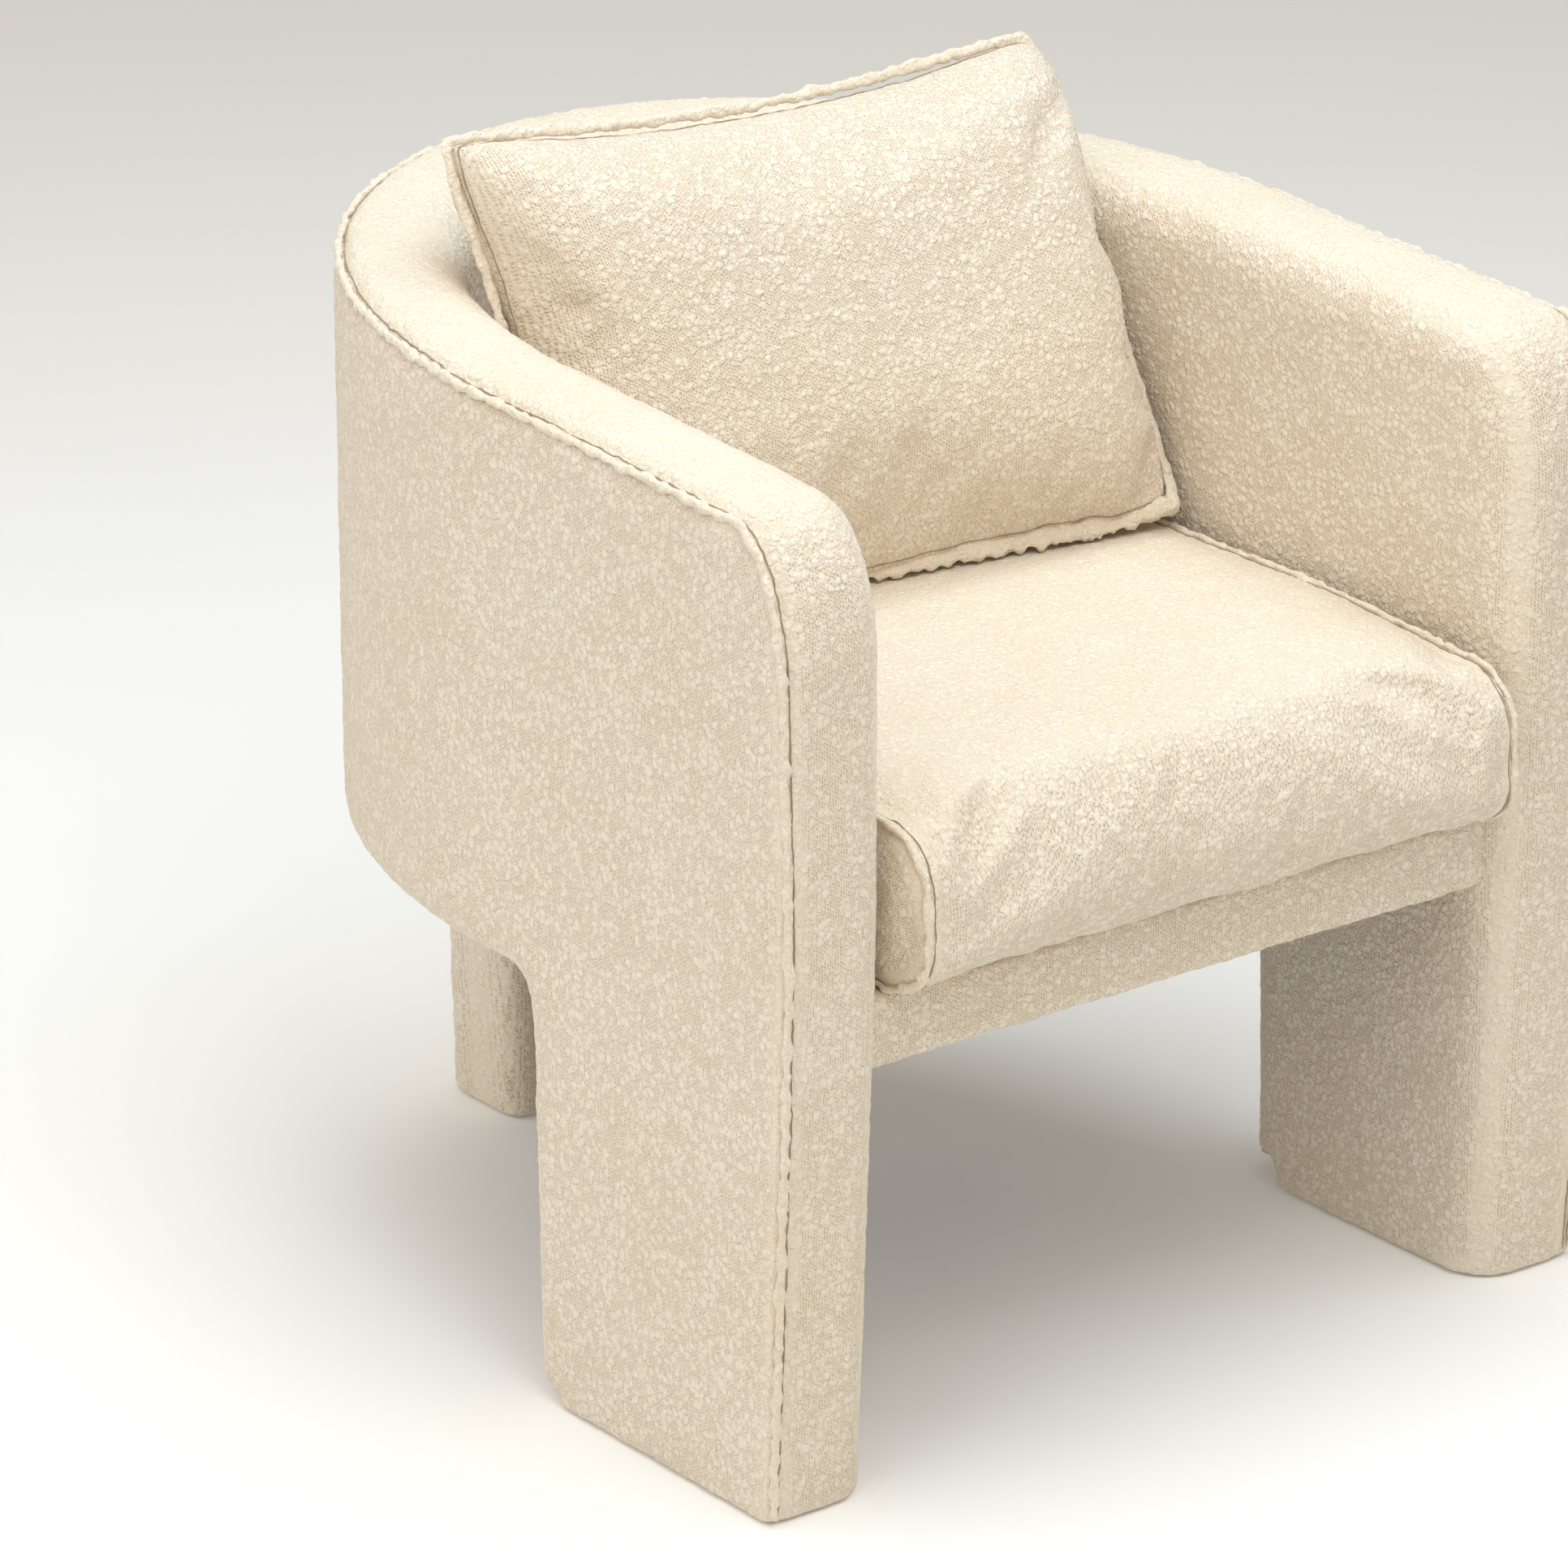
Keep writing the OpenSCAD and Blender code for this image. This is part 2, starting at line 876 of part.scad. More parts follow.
module pillow_body(grow) {
    n = pillow_steps + 1;
    faces_at = function (i, j, start) start + i * n + j;
    points = [
        for (side = [1, -1])
            for (i = [0:pillow_steps])
                for (j = [0:pillow_steps])
                    pillow_point(eased(i), eased(j), grow, side)
    ];
    back = n * n;
    front_quads = [
        for (i = [0:pillow_steps - 1])
            for (j = [0:pillow_steps - 1])
                let (a = faces_at(i, j, 0), b = faces_at(i + 1, j, 0), c = faces_at(i + 1, j + 1, 0),
                    d = faces_at(i, j + 1, 0))
                each [[a, c, b], [a, d, c]]
    ];
    back_quads = [for (f = front_quads) [f[0] + back, f[2] + back, f[1] + back]];
    rim = concat(
        [for (i = [0:pillow_steps - 1]) faces_at(i, 0, 0)],
        [for (j = [0:pillow_steps - 1]) faces_at(pillow_steps, j, 0)],
        [for (i = [pillow_steps:-1:1]) faces_at(i, pillow_steps, 0)],
        [for (j = [pillow_steps:-1:1]) faces_at(0, j, 0)]
    );
    edge_quads = [
        for (k = [0:len(rim) - 1])
            let (a = rim[k], b = rim[(k + 1) % len(rim)])
            each [[a, b, b + back], [a, b + back, a + back]]
    ];
    polyhedron(points, concat(front_quads, back_quads, edge_quads), convexity = 6);
}

module back_pillow_cover() {
    color(boucle) placed() pillow_place()
        difference() {
            pillow_body(0);
            pillow_body(-1.5);
        }
}

module back_pillow_insert() {
    color(wadding) placed() pillow_place() pillow_body(-1.5);
}

// The pillow's outline, grown by this much
module pillow_outline(grow) {
    steps = pillow_steps;
    polygon(concat(
        [for (i = [0:steps - 1]) let (p = pillow_point(2 * i / steps - 1, -1, grow, 1)) [p.x, p.y]],
        [for (i = [0:steps - 1]) let (p = pillow_point(1, 2 * i / steps - 1, grow, 1)) [p.x, p.y]],
        [for (i = [0:steps - 1]) let (p = pillow_point(1 - 2 * i / steps, 1, grow, 1)) [p.x, p.y]],
        [for (i = [0:steps - 1]) let (p = pillow_point(-1, 1 - 2 * i / steps, grow, 1)) [p.x, p.y]]
    ));
}

welt_t = 4;

module back_pillow_welt() {
    color(boucle) placed() pillow_place()
        translate([0, 0, -welt_t / 2])
            linear_extrude(height = welt_t)
                difference() {
                    pillow_outline(flange);
                    pillow_outline(0.8);
                }
}

pillow_tape_w = 5;
pillow_coil_w = 1.8;
pillow_slider_start = pillow_zip_len / 2 - 24;

// The pillow's zip lies behind the welt along the bottom edge
module pillow_zip_place() {
    pillow_place() translate([0, pillow_pull_base - flange + 1, -welt_t / 2 - tape_t]) children();
}

module pillow_zip() {
    color(boucle_shade) placed() pillow_zip_place() zip(pillow_zip_len, pillow_tape_w, pillow_coil_w);
}

module pillow_zip_slider() {
    color(steel) placed()
        pillow_zip_place() translate([-pillow_slider_start, 0, 0]) zip_slider(pillow_coil_w);
}

left_outer_panel();
right_outer_panel();
back_outer_panel();
left_inner_panel();
right_inner_panel();
back_inner_panel();
top_rib();
middle_rib();
bottom_rib();
back_uprights();
front_leg_studs();
rear_leg_outer_panel();
rear_leg_inner_panel();
rear_leg_studs();
front_rail();
left_seat_rail();
right_seat_rail();
back_seat_rail();
corner_blocks();
frame_screws();
seat_springs();
spring_clips();
spring_cloth();
deck_pad();
deck_cover();
dust_cover();
dust_cover_staples();
left_arm_padding();
right_arm_padding();
back_padding();
left_leg_padding();
right_leg_padding();
rear_leg_padding();
front_rail_padding();
outer_cover();
inner_cover();
edge_welt();
front_rail_cover();
rear_leg_cover();
floor_glides();
seat_cushion_cover();
seat_cushion_wrap();
seat_cushion_core();
seat_zip();
seat_zip_slider();
back_pillow_cover();
back_pillow_insert();
back_pillow_welt();
pillow_zip();
pillow_zip_slider();
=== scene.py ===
"""An upholstered tub armchair with a loose seat cushion and back pillow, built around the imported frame."""

import json
import math

import bmesh
import bpy
import numpy as np
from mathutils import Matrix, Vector
from mathutils.bvhtree import BVHTree
from mathutils.kdtree import KDTree


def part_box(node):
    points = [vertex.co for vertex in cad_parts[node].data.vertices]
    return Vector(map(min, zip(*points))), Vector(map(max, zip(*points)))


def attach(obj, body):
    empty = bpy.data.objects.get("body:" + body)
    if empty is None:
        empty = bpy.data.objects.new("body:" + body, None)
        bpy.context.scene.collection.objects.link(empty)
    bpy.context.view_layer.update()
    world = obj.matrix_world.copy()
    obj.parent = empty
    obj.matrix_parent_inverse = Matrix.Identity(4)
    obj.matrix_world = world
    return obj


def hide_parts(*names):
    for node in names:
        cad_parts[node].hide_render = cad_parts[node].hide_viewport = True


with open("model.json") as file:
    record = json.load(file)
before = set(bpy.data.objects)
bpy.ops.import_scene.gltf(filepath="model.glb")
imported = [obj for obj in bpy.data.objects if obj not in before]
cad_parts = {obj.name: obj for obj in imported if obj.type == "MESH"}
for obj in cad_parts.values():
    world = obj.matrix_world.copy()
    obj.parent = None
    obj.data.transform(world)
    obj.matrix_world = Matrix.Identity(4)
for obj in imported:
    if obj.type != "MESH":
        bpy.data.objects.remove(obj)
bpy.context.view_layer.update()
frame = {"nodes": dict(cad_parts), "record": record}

# ---- Sizes, in metres, in the chair's own frame: the legs' front plane is y = 0 until a mesh is placed ----

HALF_W = 0.370
DEPTH = 0.795
BACK_H = 0.755
ARM_DROP = 0.040  # how much lower the arms' front ends are than the back
WALL = 0.096
ARM_LEN = 0.343  # the straight part of the arms, before the back's curve
BACK_REACH = DEPTH - ARM_LEN
LEG_DEPTH = 0.292
LEG_LEAN = 0.018  # how far back the legs' front is at the floor
LEG_FLARE = 0.008
LEAN_TOP = 0.400
ROLL_Y = 0.070
ROLL_Z = 0.112
SHELL_Z = 0.310
LEG_FILLET = 0.026
FOOT = 0.0015
REAR_LEG_HALF = 0.102
CUSHION_Z = 0.362
CUSHION_OUT = 0.014
CUSHION_GAP = 0.005
PILLOW_W = 0.512
PILLOW_H = 0.346
MID_Y = (DEPTH - CUSHION_OUT) / 2
PLACED = np.array([0.0, -MID_Y, 0.0])

RIB = 0.0022  # the knit's ribs and courses
COURSE = 0.0028


# ---- Mesh tools ----


def link(name, data, material=None):
    """An object for a mesh, a light or a camera, in the scene."""
    obj = bpy.data.objects.new(name, data)
    bpy.context.scene.collection.objects.link(obj)
    if material:
        data.materials.append(material)
    return obj


def shade_smooth(mesh):
    mesh.polygons.foreach_set("use_smooth", [True] * len(mesh.polygons))


def quad_object(name, verts, quads, material):
    """An object from arrays of vertices and of quads."""
    mesh = bpy.data.meshes.new(name)
    mesh.vertices.add(len(verts))
    mesh.vertices.foreach_set("co", np.asarray(verts, np.float32).ravel())
    mesh.loops.add(quads.size)
    mesh.loops.foreach_set("vertex_index", quads.astype(np.int32).ravel())
    mesh.polygons.add(len(quads))
    mesh.polygons.foreach_set("loop_start", np.arange(0, quads.size, 4, dtype=np.int32))
    mesh.update(calc_edges=True)
    shade_smooth(mesh)
    return link(name, mesh, material)


def read_vectors(items, name):
    """One vector for each item, as an array."""
    values = np.empty(len(items) * 3, np.float32)
    items.foreach_get(name, values)
    return values.reshape(-1, 3).astype(float)


def positions(obj):
    return read_vectors(obj.data.vertices, "co")


def write_vectors(obj, name, values):
    """Keeps one vector for each vertex in the mesh, as an attribute."""
    attribute = obj.data.attributes.new(name, "FLOAT_VECTOR", "POINT")
    attribute.data.foreach_set("vector", np.asarray(values, np.float32).ravel())


def set_positions(obj, co):
    obj.data.vertices.foreach_set("co", np.asarray(co, np.float32).ravel())
    obj.data.update()


def vertex_normals(obj):
    return read_vectors(obj.data.vertices, "normal")


def apply_modifiers(obj):
    """Replaces the object's mesh with what its modifiers make of it."""
    graph = bpy.context.evaluated_depsgraph_get()
    mesh = bpy.data.meshes.new_from_object(obj.evaluated_get(graph))
    old = obj.data
    obj.modifiers.clear()
    obj.data = mesh
    bpy.data.meshes.remove(old)
    shade_smooth(mesh)


def ring_field(points, ring):
    """For each 2D point its distance to a closed ring, negative inside, and its place along the ring."""
    a, b = ring, np.roll(ring, -1, axis=0)
    side = b - a
    length = np.maximum(np.hypot(side[:, 0], side[:, 1]), 1e-9)
    start = np.concatenate([[0.0], np.cumsum(length)[:-1]])
    best = np.full(len(points), 1e9)
    along = np.zeros(len(points))
    inside = np.zeros(len(points), bool)
    for k in range(len(a)):
        rel = points - a[k]
        t = np.clip((rel @ side[k]) / length[k] ** 2, 0, 1)
        off = rel - t[:, None] * side[k]
        gap = np.hypot(off[:, 0], off[:, 1])
        near = gap < best
        best[near] = gap[near]
        along[near] = start[k] + t[near] * length[k]
        if side[k, 1] != 0:
            crosses = (a[k, 1] > points[:, 1]) != (b[k, 1] > points[:, 1])
            x_at = a[k, 0] + (points[:, 1] - a[k, 1]) * side[k, 0] / side[k, 1]
            inside ^= crosses & (points[:, 0] < x_at)
    return np.where(inside, -best, best), along


def round_join(a, b, r):
    """The intersection of two solids given by signed distances, with its edge rounded to radius r."""
    return np.minimum(np.maximum(a, b), -r) + np.hypot(np.maximum(a + r, 0), np.maximum(b + r, 0))


def surface_net(values, low, step):
    """Vertices and quads of the surface where a grid of signed distances is zero."""
    inside = values < 0
    count = np.zeros(tuple(n - 1 for n in values.shape), np.int8)
    corners = [(i, j, k) for i in (0, 1) for j in (0, 1) for k in (0, 1)]
    for i, j, k in corners:
        count += inside[i : i + count.shape[0], j : j + count.shape[1], k : k + count.shape[2]]
    mixed = (count > 0) & (count < 8)
    index = np.full(count.shape, -1, np.int64)
    cells = np.argwhere(mixed)
    index[mixed] = np.arange(len(cells))
    total = np.zeros((len(cells), 3))
    hits = np.zeros(len(cells))
    for corner in corners:
        for axis in range(3):
            if corner[axis]:
                continue
            p = cells + corner
            q = p.copy()
            q[:, axis] += 1
            v0 = values[p[:, 0], p[:, 1], p[:, 2]]
            v1 = values[q[:, 0], q[:, 1], q[:, 2]]
            cross = (v0 < 0) != (v1 < 0)
            t = np.where(cross, v0 / np.where(cross, v0 - v1, 1), 0)
            at = np.tile(np.array(corner, float), (len(cells), 1))
            at[:, axis] += t
            total += at * cross[:, None]
            hits += cross
    verts = np.asarray(low) + step * (cells + total / hits[:, None])
    quads = []
    for axis in range(3):
        a, b = (axis + 1) % 3, (axis + 2) % 3
        first = [slice(None)] * 3
        second = [slice(None)] * 3
        first[axis], second[axis] = slice(0, -1), slice(1, None)
        s0, s1 = inside[tuple(first)], inside[tuple(second)]
        edges = np.argwhere(s0 != s1)
        keep = (edges[:, a] > 0) & (edges[:, b] > 0)
        keep &= (edges[:, a] < values.shape[a] - 1) & (edges[:, b] < values.shape[b] - 1)
        edges = edges[keep]
        out = s0[edges[:, 0], edges[:, 1], edges[:, 2]]
        ea, eb = np.eye(3, dtype=int)[a], np.eye(3, dtype=int)[b]
        quad = np.stack(
            [index[tuple((edges - o).T)] for o in (0 * ea, ea, ea + eb, eb)], axis=1
        )
        quad[~out] = quad[~out][:, ::-1]
        quads.append(quad)
    return verts, np.concatenate(quads)


def grid_axes(low, high, step):
    return [np.arange(low[k], high[k] + step, step) for k in range(3)]


def field_over(first, second, ring):
    """Signed distances to a closed ring over a grid of two axes."""
    points = np.stack(np.meshgrid(first, second, indexing="ij"), -1).reshape(-1, 2)
    return ring_field(points, ring)[0].reshape(len(first), len(second))


def smooth_step(x, low, high):
    t = np.clip((x - low) / (high - low), 0, 1)
    return t * t * (3 - 2 * t)


def unit(vectors):
    """The vectors, each made one long."""
    return vectors / np.linalg.norm(vectors, axis=-1)[..., None]


def gap_to(co, path):
    """How far each point is from the nearest point of a path."""
    tree = KDTree(len(path))
    for k, point in enumerate(path):
        tree.insert(point, k)
    tree.balance()
    return np.array([tree.find(c)[2] for c in co])


def away_from(co, node, margin):
    """How far each point is outside a CAD node's box in plan, with a margin added all round."""
    low, high = (np.array(c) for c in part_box(node))
    out = np.maximum(low[:2] - margin - co[:, :2], co[:, :2] - high[:2] - margin)
    return out.max(1)


# ---- Outlines ----


def back_curve(k, steps=96):
    """The back's curve in plan, inset by k, from the left arm round to the right."""
    t = np.linspace(0, np.pi, steps + 1)
    return np.stack([-(HALF_W - k) * np.cos(t), ARM_LEN + (BACK_REACH - k) * np.sin(t)], 1)


def plan_ring(k, front=-0.2):
    """The chair's outline in plan, inset by k, open past the front."""
    ends = np.array([[HALF_W - k, front], [-(HALF_W - k), front]])
    return np.concatenate([ends, back_curve(k)])


def top_z(y):
    """The height of the arms and back, which falls a little towards the front."""
    return BACK_H - ARM_DROP * (1 - y / DEPTH)


def front_line(steps=28):
    """The side view of a leg's front, the roll at the top of the arm, and the first point of the top."""
    a = np.linspace(0, np.pi / 2, steps + 1)
    roll = np.stack(
        [ROLL_Y - ROLL_Y * np.cos(a), top_z(ROLL_Y) - ROLL_Z + ROLL_Z * np.sin(a)], 1
    )
    return np.concatenate([[[LEG_LEAN, FOOT], [0, LEAN_TOP]], roll])


PAST = 0.3  # how far the side outlines run on past the chair


def top_front_ring():
    """Side view of everything behind the chair's front and under its top."""
    slope = LEG_LEAN / (LEAN_TOP - FOOT)
    start = [LEG_LEAN + PAST * slope, -PAST]
    far = DEPTH + PAST
    return np.concatenate([[start], front_line()[1:], [[far, top_z(far)], [far, -PAST]]])


def under_ring(heel=0.02):
    """Side view of what lies above the shell's underside, and of the legs in front of their rear edges."""
    a = np.linspace(0, np.pi / 2, 9)
    rear = LEG_DEPTH + 0.001
    toe = np.stack([rear - heel + heel * np.sin(a), FOOT + heel - heel * np.cos(a)], 1)
    b = np.linspace(np.pi, np.pi / 2, 13)
    fillet = np.stack(
        [
            LEG_DEPTH + LEG_FLARE + LEG_FILLET + LEG_FILLET * np.cos(b),
            SHELL_Z - LEG_FILLET + LEG_FILLET * np.sin(b),
        ],
        1,
    )
    far = DEPTH + PAST
    ahead, above = -0.5, 2.0
    start = [[ahead, ahead], [rear - heel, ahead]]
    return np.concatenate([start, toe, fillet, [[far, SHELL_Z], [far, above], [ahead, above]]])


# ---- Materials ----


class Nodes:
    """A short way to write a material's node tree."""

    def __init__(self, name):
        self.material = bpy.data.materials.new(name)
        self.material.use_nodes = True
        self.tree = self.material.node_tree
        self.shader = self.tree.nodes["Principled BSDF"]

    def add(self, kind, **values):
        node = self.tree.nodes.new("ShaderNode" + kind)
        for key, value in values.items():
            setattr(node, key, value)
        return node

    def put(self, node, name, value):
        socket = node.inputs[name]
        if isinstance(value, bpy.types.NodeSocket):
            self.tree.links.new(value, socket)
        else:
            socket.default_value = value

    def math(self, operation, a, b=0.0, c=0.0):
        node = self.add("Math", operation=operation)
        for k, value in enumerate((a, b, c)):
            self.put(node, k, value)
        return node.outputs[0]

    def vector(self, operation, a, b=(0, 0, 0), scale=1.0):
        node = self.add("VectorMath", operation=operation)
        self.put(node, 0, a)
        if operation == "SCALE":
            self.put(node, "Scale", scale)
        else:
            self.put(node, 1, b)
        return node.outputs[0]

    def steps(self, value, low, high, out_low=0.0, out_high=1.0):
        node = self.add("MapRange", interpolation_type="SMOOTHSTEP")
        names = ("Value", "From Min", "From Max", "To Min", "To Max")
        for name, x in zip(names, (value, low, high, out_low, out_high)):
            self.put(node, name, x)
        return node.outputs["Result"]

    def noise(self, vector, scale, detail=2.0, roughness=0.5, out="Fac"):
        node = self.add("TexNoise")
        names = ("Vector", "Scale", "Detail", "Roughness")
        for name, x in zip(names, (vector, scale, detail, roughness)):
            self.put(node, name, x)
        return node.outputs[out]

    def voronoi(self, vector, scale):
        node = self.add("TexVoronoi")
        self.put(node, "Vector", vector)
        self.put(node, "Scale", scale)
        return node

    def mix(self, factor, a, b, blend="MIX"):
        node = self.add("Mix", data_type="RGBA", blend_type=blend)
        self.put(node, 0, factor)
        self.put(node, 6, a)
        self.put(node, 7, b)
        return node.outputs[2]

    def bump(self, height, distance):
        node = self.add("Bump")
        self.put(node, "Height", height)
        self.put(node, "Distance", distance)
        self.put(node, "Strength", 1.0)
        return node.outputs["Normal"]


def rgb(r, g, b):
    return (r, g, b, 1.0)


def boucle(name, ground, nub, shade, nub_share=0.66, relief=0.0023):
    """Looped yarn: soft nubs of two sizes, in patches, over a knitted ground with small holes.

    The ground's ribs and courses follow the mesh's weave attribute: metres across, metres along, strength.
    """
    n = Nodes(name)
    place = n.add("TexCoord").outputs["Object"]
    wander = n.vector("SUBTRACT", n.noise(place, 210, 2.0, out="Color"), (0.5, 0.5, 0.5))
    loose = n.vector("ADD", place, n.vector("SCALE", wander, scale=0.0052))
    patch = n.steps(n.noise(place, 38, 2.0), 0.34, 0.66, -0.16, 0.16)

    # Two sizes of nub, fewer in some patches than in others
    def nubs(size, share, outer):
        cell = n.voronoi(loose, 1.0 / size)
        rise = n.steps(cell.outputs["Distance"], 0.06, outer, 1.0, 0.0)
        pick = n.add("SeparateColor")
        n.put(pick, 0, cell.outputs["Color"])
        level = n.math("ADD", patch, share)
        chosen = n.steps(n.math("SUBTRACT", level, pick.outputs[0]), -0.22, 0.20)
        lift = n.math("MULTIPLY_ADD", pick.outputs[1], 0.45, 0.55)
        return n.math("MULTIPLY", rise, n.math("MULTIPLY", chosen, lift))

    big = nubs(0.0058, nub_share - 0.10, 0.80)
    small = nubs(0.0038, nub_share + 0.04, 0.78)
    pile = n.math("MAXIMUM", big, n.math("MULTIPLY", small, 0.62))

    # The knit's holes lie between its ribs, where its courses tie. Nubs cover them.
    weave = n.add("Attribute", attribute_name="weave")
    run = n.add("SeparateXYZ")
    n.put(run, 0, weave.outputs["Vector"])
    sway = n.math("MULTIPLY", n.math("SUBTRACT", n.noise(place, 190, 2.0), 0.5), 9.0)
    across = n.math("MULTIPLY_ADD", run.outputs[0], 2 * math.pi / RIB, n.math("MULTIPLY", sway, 0.6))
    along = n.math("MULTIPLY_ADD", run.outputs[1], 2 * math.pi / COURSE, sway)
    along = n.math("ADD", along, n.math("MULTIPLY", across, 0.5))
    gap = n.math("MULTIPLY_ADD", n.math("COSINE", across), 0.5, 0.5)
    tie = n.math("MULTIPLY_ADD", n.math("COSINE", along), 0.5, 0.5)
    hole = n.math("MULTIPLY", n.math("POWER", gap, 1.6), n.math("POWER", tie, 0.8))
    hole = n.math("MULTIPLY", hole, run.outputs[2])
    fuzz = n.noise(loose, 620, 3.0, 0.6)
    covered = n.steps(pile, 0.0, 0.5, 1.0, 0.15)
    hole = n.math("MULTIPLY", hole, covered)

    height = n.math("MULTIPLY_ADD", hole, -0.30, n.math("MULTIPLY", fuzz, 0.26))
    height = n.math("ADD", height, n.math("MULTIPLY", pile, 0.62))
    height = n.math("ADD", height, n.math("MULTIPLY", n.noise(place, 70, 2.0), 0.40))

    # Colour: fuzz over the ground, with painted shade in its dips; painted shade in the knit's holes; nubs
    # lighter, partly their own tone and partly painted light on the raised yarn; slow stains
    # Where the fuzz is low the ground is mixed toward the shade colour: painted shade in its dips.
    base = n.mix(n.steps(fuzz, 0.30, 0.62), n.mix(0.45, ground, shade), ground)
    # The knit's holes are mixed toward the shade colour: painted shade in the holes.
    base = n.mix(n.math("MULTIPLY", hole, 0.85), base, shade)
    # Raised nubs are mixed toward the lighter nub colour by height: partly the loops' own tone, partly
    # painted light on the raised yarn.
    base = n.mix(n.steps(pile, 0.04, 0.75, 0.0, 0.66), base, nub)
    tint = n.steps(n.noise(place, 9, 3.0), 0.3, 0.7)
    base = n.mix(tint, base, n.mix(1.0, base, rgb(0.985, 0.97, 0.94), "MULTIPLY"))
    n.put(n.shader, "Base Color", base)
    n.shader.inputs["Roughness"].default_value = 0.92
    n.shader.inputs["Specular IOR Level"].default_value = 0.10
    n.shader.inputs["Sheen Weight"].default_value = 0.20
    n.shader.inputs["Sheen Roughness"].default_value = 0.45
    n.shader.inputs["Sheen Tint"].default_value = rgb(1.0, 0.98, 0.95)
    n.put(n.shader, "Normal", n.bump(height, relief))
    return n.material


# shade is a warm painted shade colour for the knit's holes and the fuzz's dips; nub is partly the loops' own
# tone, partly painted light on them.
CREAM = dict(
    ground=rgb(0.88, 0.79, 0.66), nub=rgb(0.915, 0.845, 0.75), shade=rgb(0.66, 0.52, 0.37)
)
fabric = boucle("boucle", **CREAM)


def plain(name, color, roughness, metallic=0.0, grain=(400.0, 0.15), relief=0.0002):
    """A simple finish with slight unevenness of colour and surface."""
    n = Nodes(name)
    place = n.add("TexCoord").outputs["Object"]
    uneven = n.noise(place, grain[0], 3.0)
    dark = rgb(*(c * (1 - grain[1]) for c in color))
    n.put(n.shader, "Base Color", n.mix(uneven, dark, rgb(*color)))
    n.shader.inputs["Metallic"].default_value = metallic
    n.put(n.shader, "Roughness", n.steps(uneven, 0.2, 0.8, roughness * 0.85, min(1.0, roughness * 1.1)))
    n.put(n.shader, "Normal", n.bump(uneven, relief))
    return n.material


def wood(name, light, dark, ring=90.0, layers=False):
    n = Nodes(name)
    place = n.add("TexCoord").outputs["Object"]
    stretch = n.vector("MULTIPLY", place, (1.0, 1.0, 0.08) if not layers else (1.0, 1.0, 1.0))
    streak = n.noise(stretch, ring, 4.0, 0.6)
    fine = n.noise(n.vector("MULTIPLY", place, (1.0, 1.0, 0.05)), 900, 2.0)
    base = n.mix(n.steps(streak, 0.3, 0.7), light, dark)
    base = n.mix(n.math("MULTIPLY", fine, 0.3), base, dark)
    n.put(n.shader, "Base Color", base)
    n.shader.inputs["Roughness"].default_value = 0.62
    n.put(n.shader, "Normal", n.bump(fine, 0.0003))
    return n.material


def cloth(name, color, pitch, relief, hole=0.6):
    """A plain open weave, crossing in X and Y, with painted shade in the gaps between its threads."""
    n = Nodes(name)
    place = n.add("TexCoord").outputs["Object"]
    axes = n.add("SeparateXYZ")
    n.put(axes, 0, place)
    turn = 2 * math.pi / pitch
    warp = n.math("SINE", n.math("MULTIPLY", axes.outputs[0], turn))
    weft = n.math("SINE", n.math("MULTIPLY", axes.outputs[1], turn))
    thread_and_shade = n.math("MAXIMUM", warp, weft)
    uneven = n.noise(place, 500, 2.0)
    level = n.math("MULTIPLY_ADD", thread_and_shade, 0.5, n.math("MULTIPLY", uneven, 0.4))
    # hole sets how much darker the gaps between threads are painted: painted shade, made uneven by noise.
    dark = rgb(*(c * (1 - hole) for c in color))
    n.put(n.shader, "Base Color", n.mix(n.steps(level, -0.2, 0.6), dark, rgb(*color)))
    n.shader.inputs["Roughness"].default_value = 0.9
    n.put(n.shader, "Normal", n.bump(level, relief))
    return n.material


# The dark seam lines' colour: partly the thread's own, partly painted shade of the seams' grooves.
thread_and_shade = plain("thread_and_shade", (0.45, 0.345, 0.235), 0.85, grain=(1500.0, 0.35))
plywood = wood("plywood", rgb(0.72, 0.56, 0.36), rgb(0.55, 0.39, 0.22), layers=True)
beech = wood("beech", rgb(0.66, 0.46, 0.28), rgb(0.50, 0.32, 0.17))
steel = plain("steel", (0.55, 0.56, 0.58), 0.34, metallic=1.0, grain=(900.0, 0.12))
zip_metal = plain("zip_metal", (0.62, 0.60, 0.55), 0.3, metallic=1.0, grain=(1200.0, 0.1))
glide_plastic = plain("glide_plastic", (0.10, 0.085, 0.07), 0.5, grain=(700.0, 0.2))
foam = plain("foam", (0.86, 0.80, 0.60), 0.95, grain=(1400.0, 0.3), relief=0.0006)
wadding = plain("wadding", (0.90, 0.90, 0.88), 0.95, grain=(300.0, 0.12), relief=0.002)
hessian = cloth("hessian", (0.50, 0.38, 0.22), 0.0024, 0.0006)
black_cloth = cloth("black_cloth", (0.035, 0.035, 0.04), 0.0011, 0.0002, hole=0.4)
zip_tape = cloth("zip_tape", (0.76, 0.69, 0.56), 0.0009, 0.0002, hole=0.3)

SLOT_MATERIALS = {
    "plywood": plywood, "beech": beech, "steel": steel, "glide_plastic": glide_plastic, "foam": foam,
    "wadding": wadding, "hessian": hessian, "black_cloth": black_cloth, "zip_tape": zip_tape,
    "boucle": fabric, "boucle_shade": fabric,
}
for part in frame["record"]["subparts"]:
    node = frame["nodes"][part["node"]]
    material = SLOT_MATERIALS[part["material_slot"]]
    if part["node"].endswith("slider"):
        material = zip_metal
    node.data.materials.clear()
    node.data.materials.append(material)


def set_weave(obj, across, along, strength=1.0):
    """Writes the directions of the weave on a mesh: metres across, metres along, and how much it shows."""
    shown = np.broadcast_to(strength, len(obj.data.vertices))
    write_vectors(obj, "weave", np.stack([across, along, shown], 1))


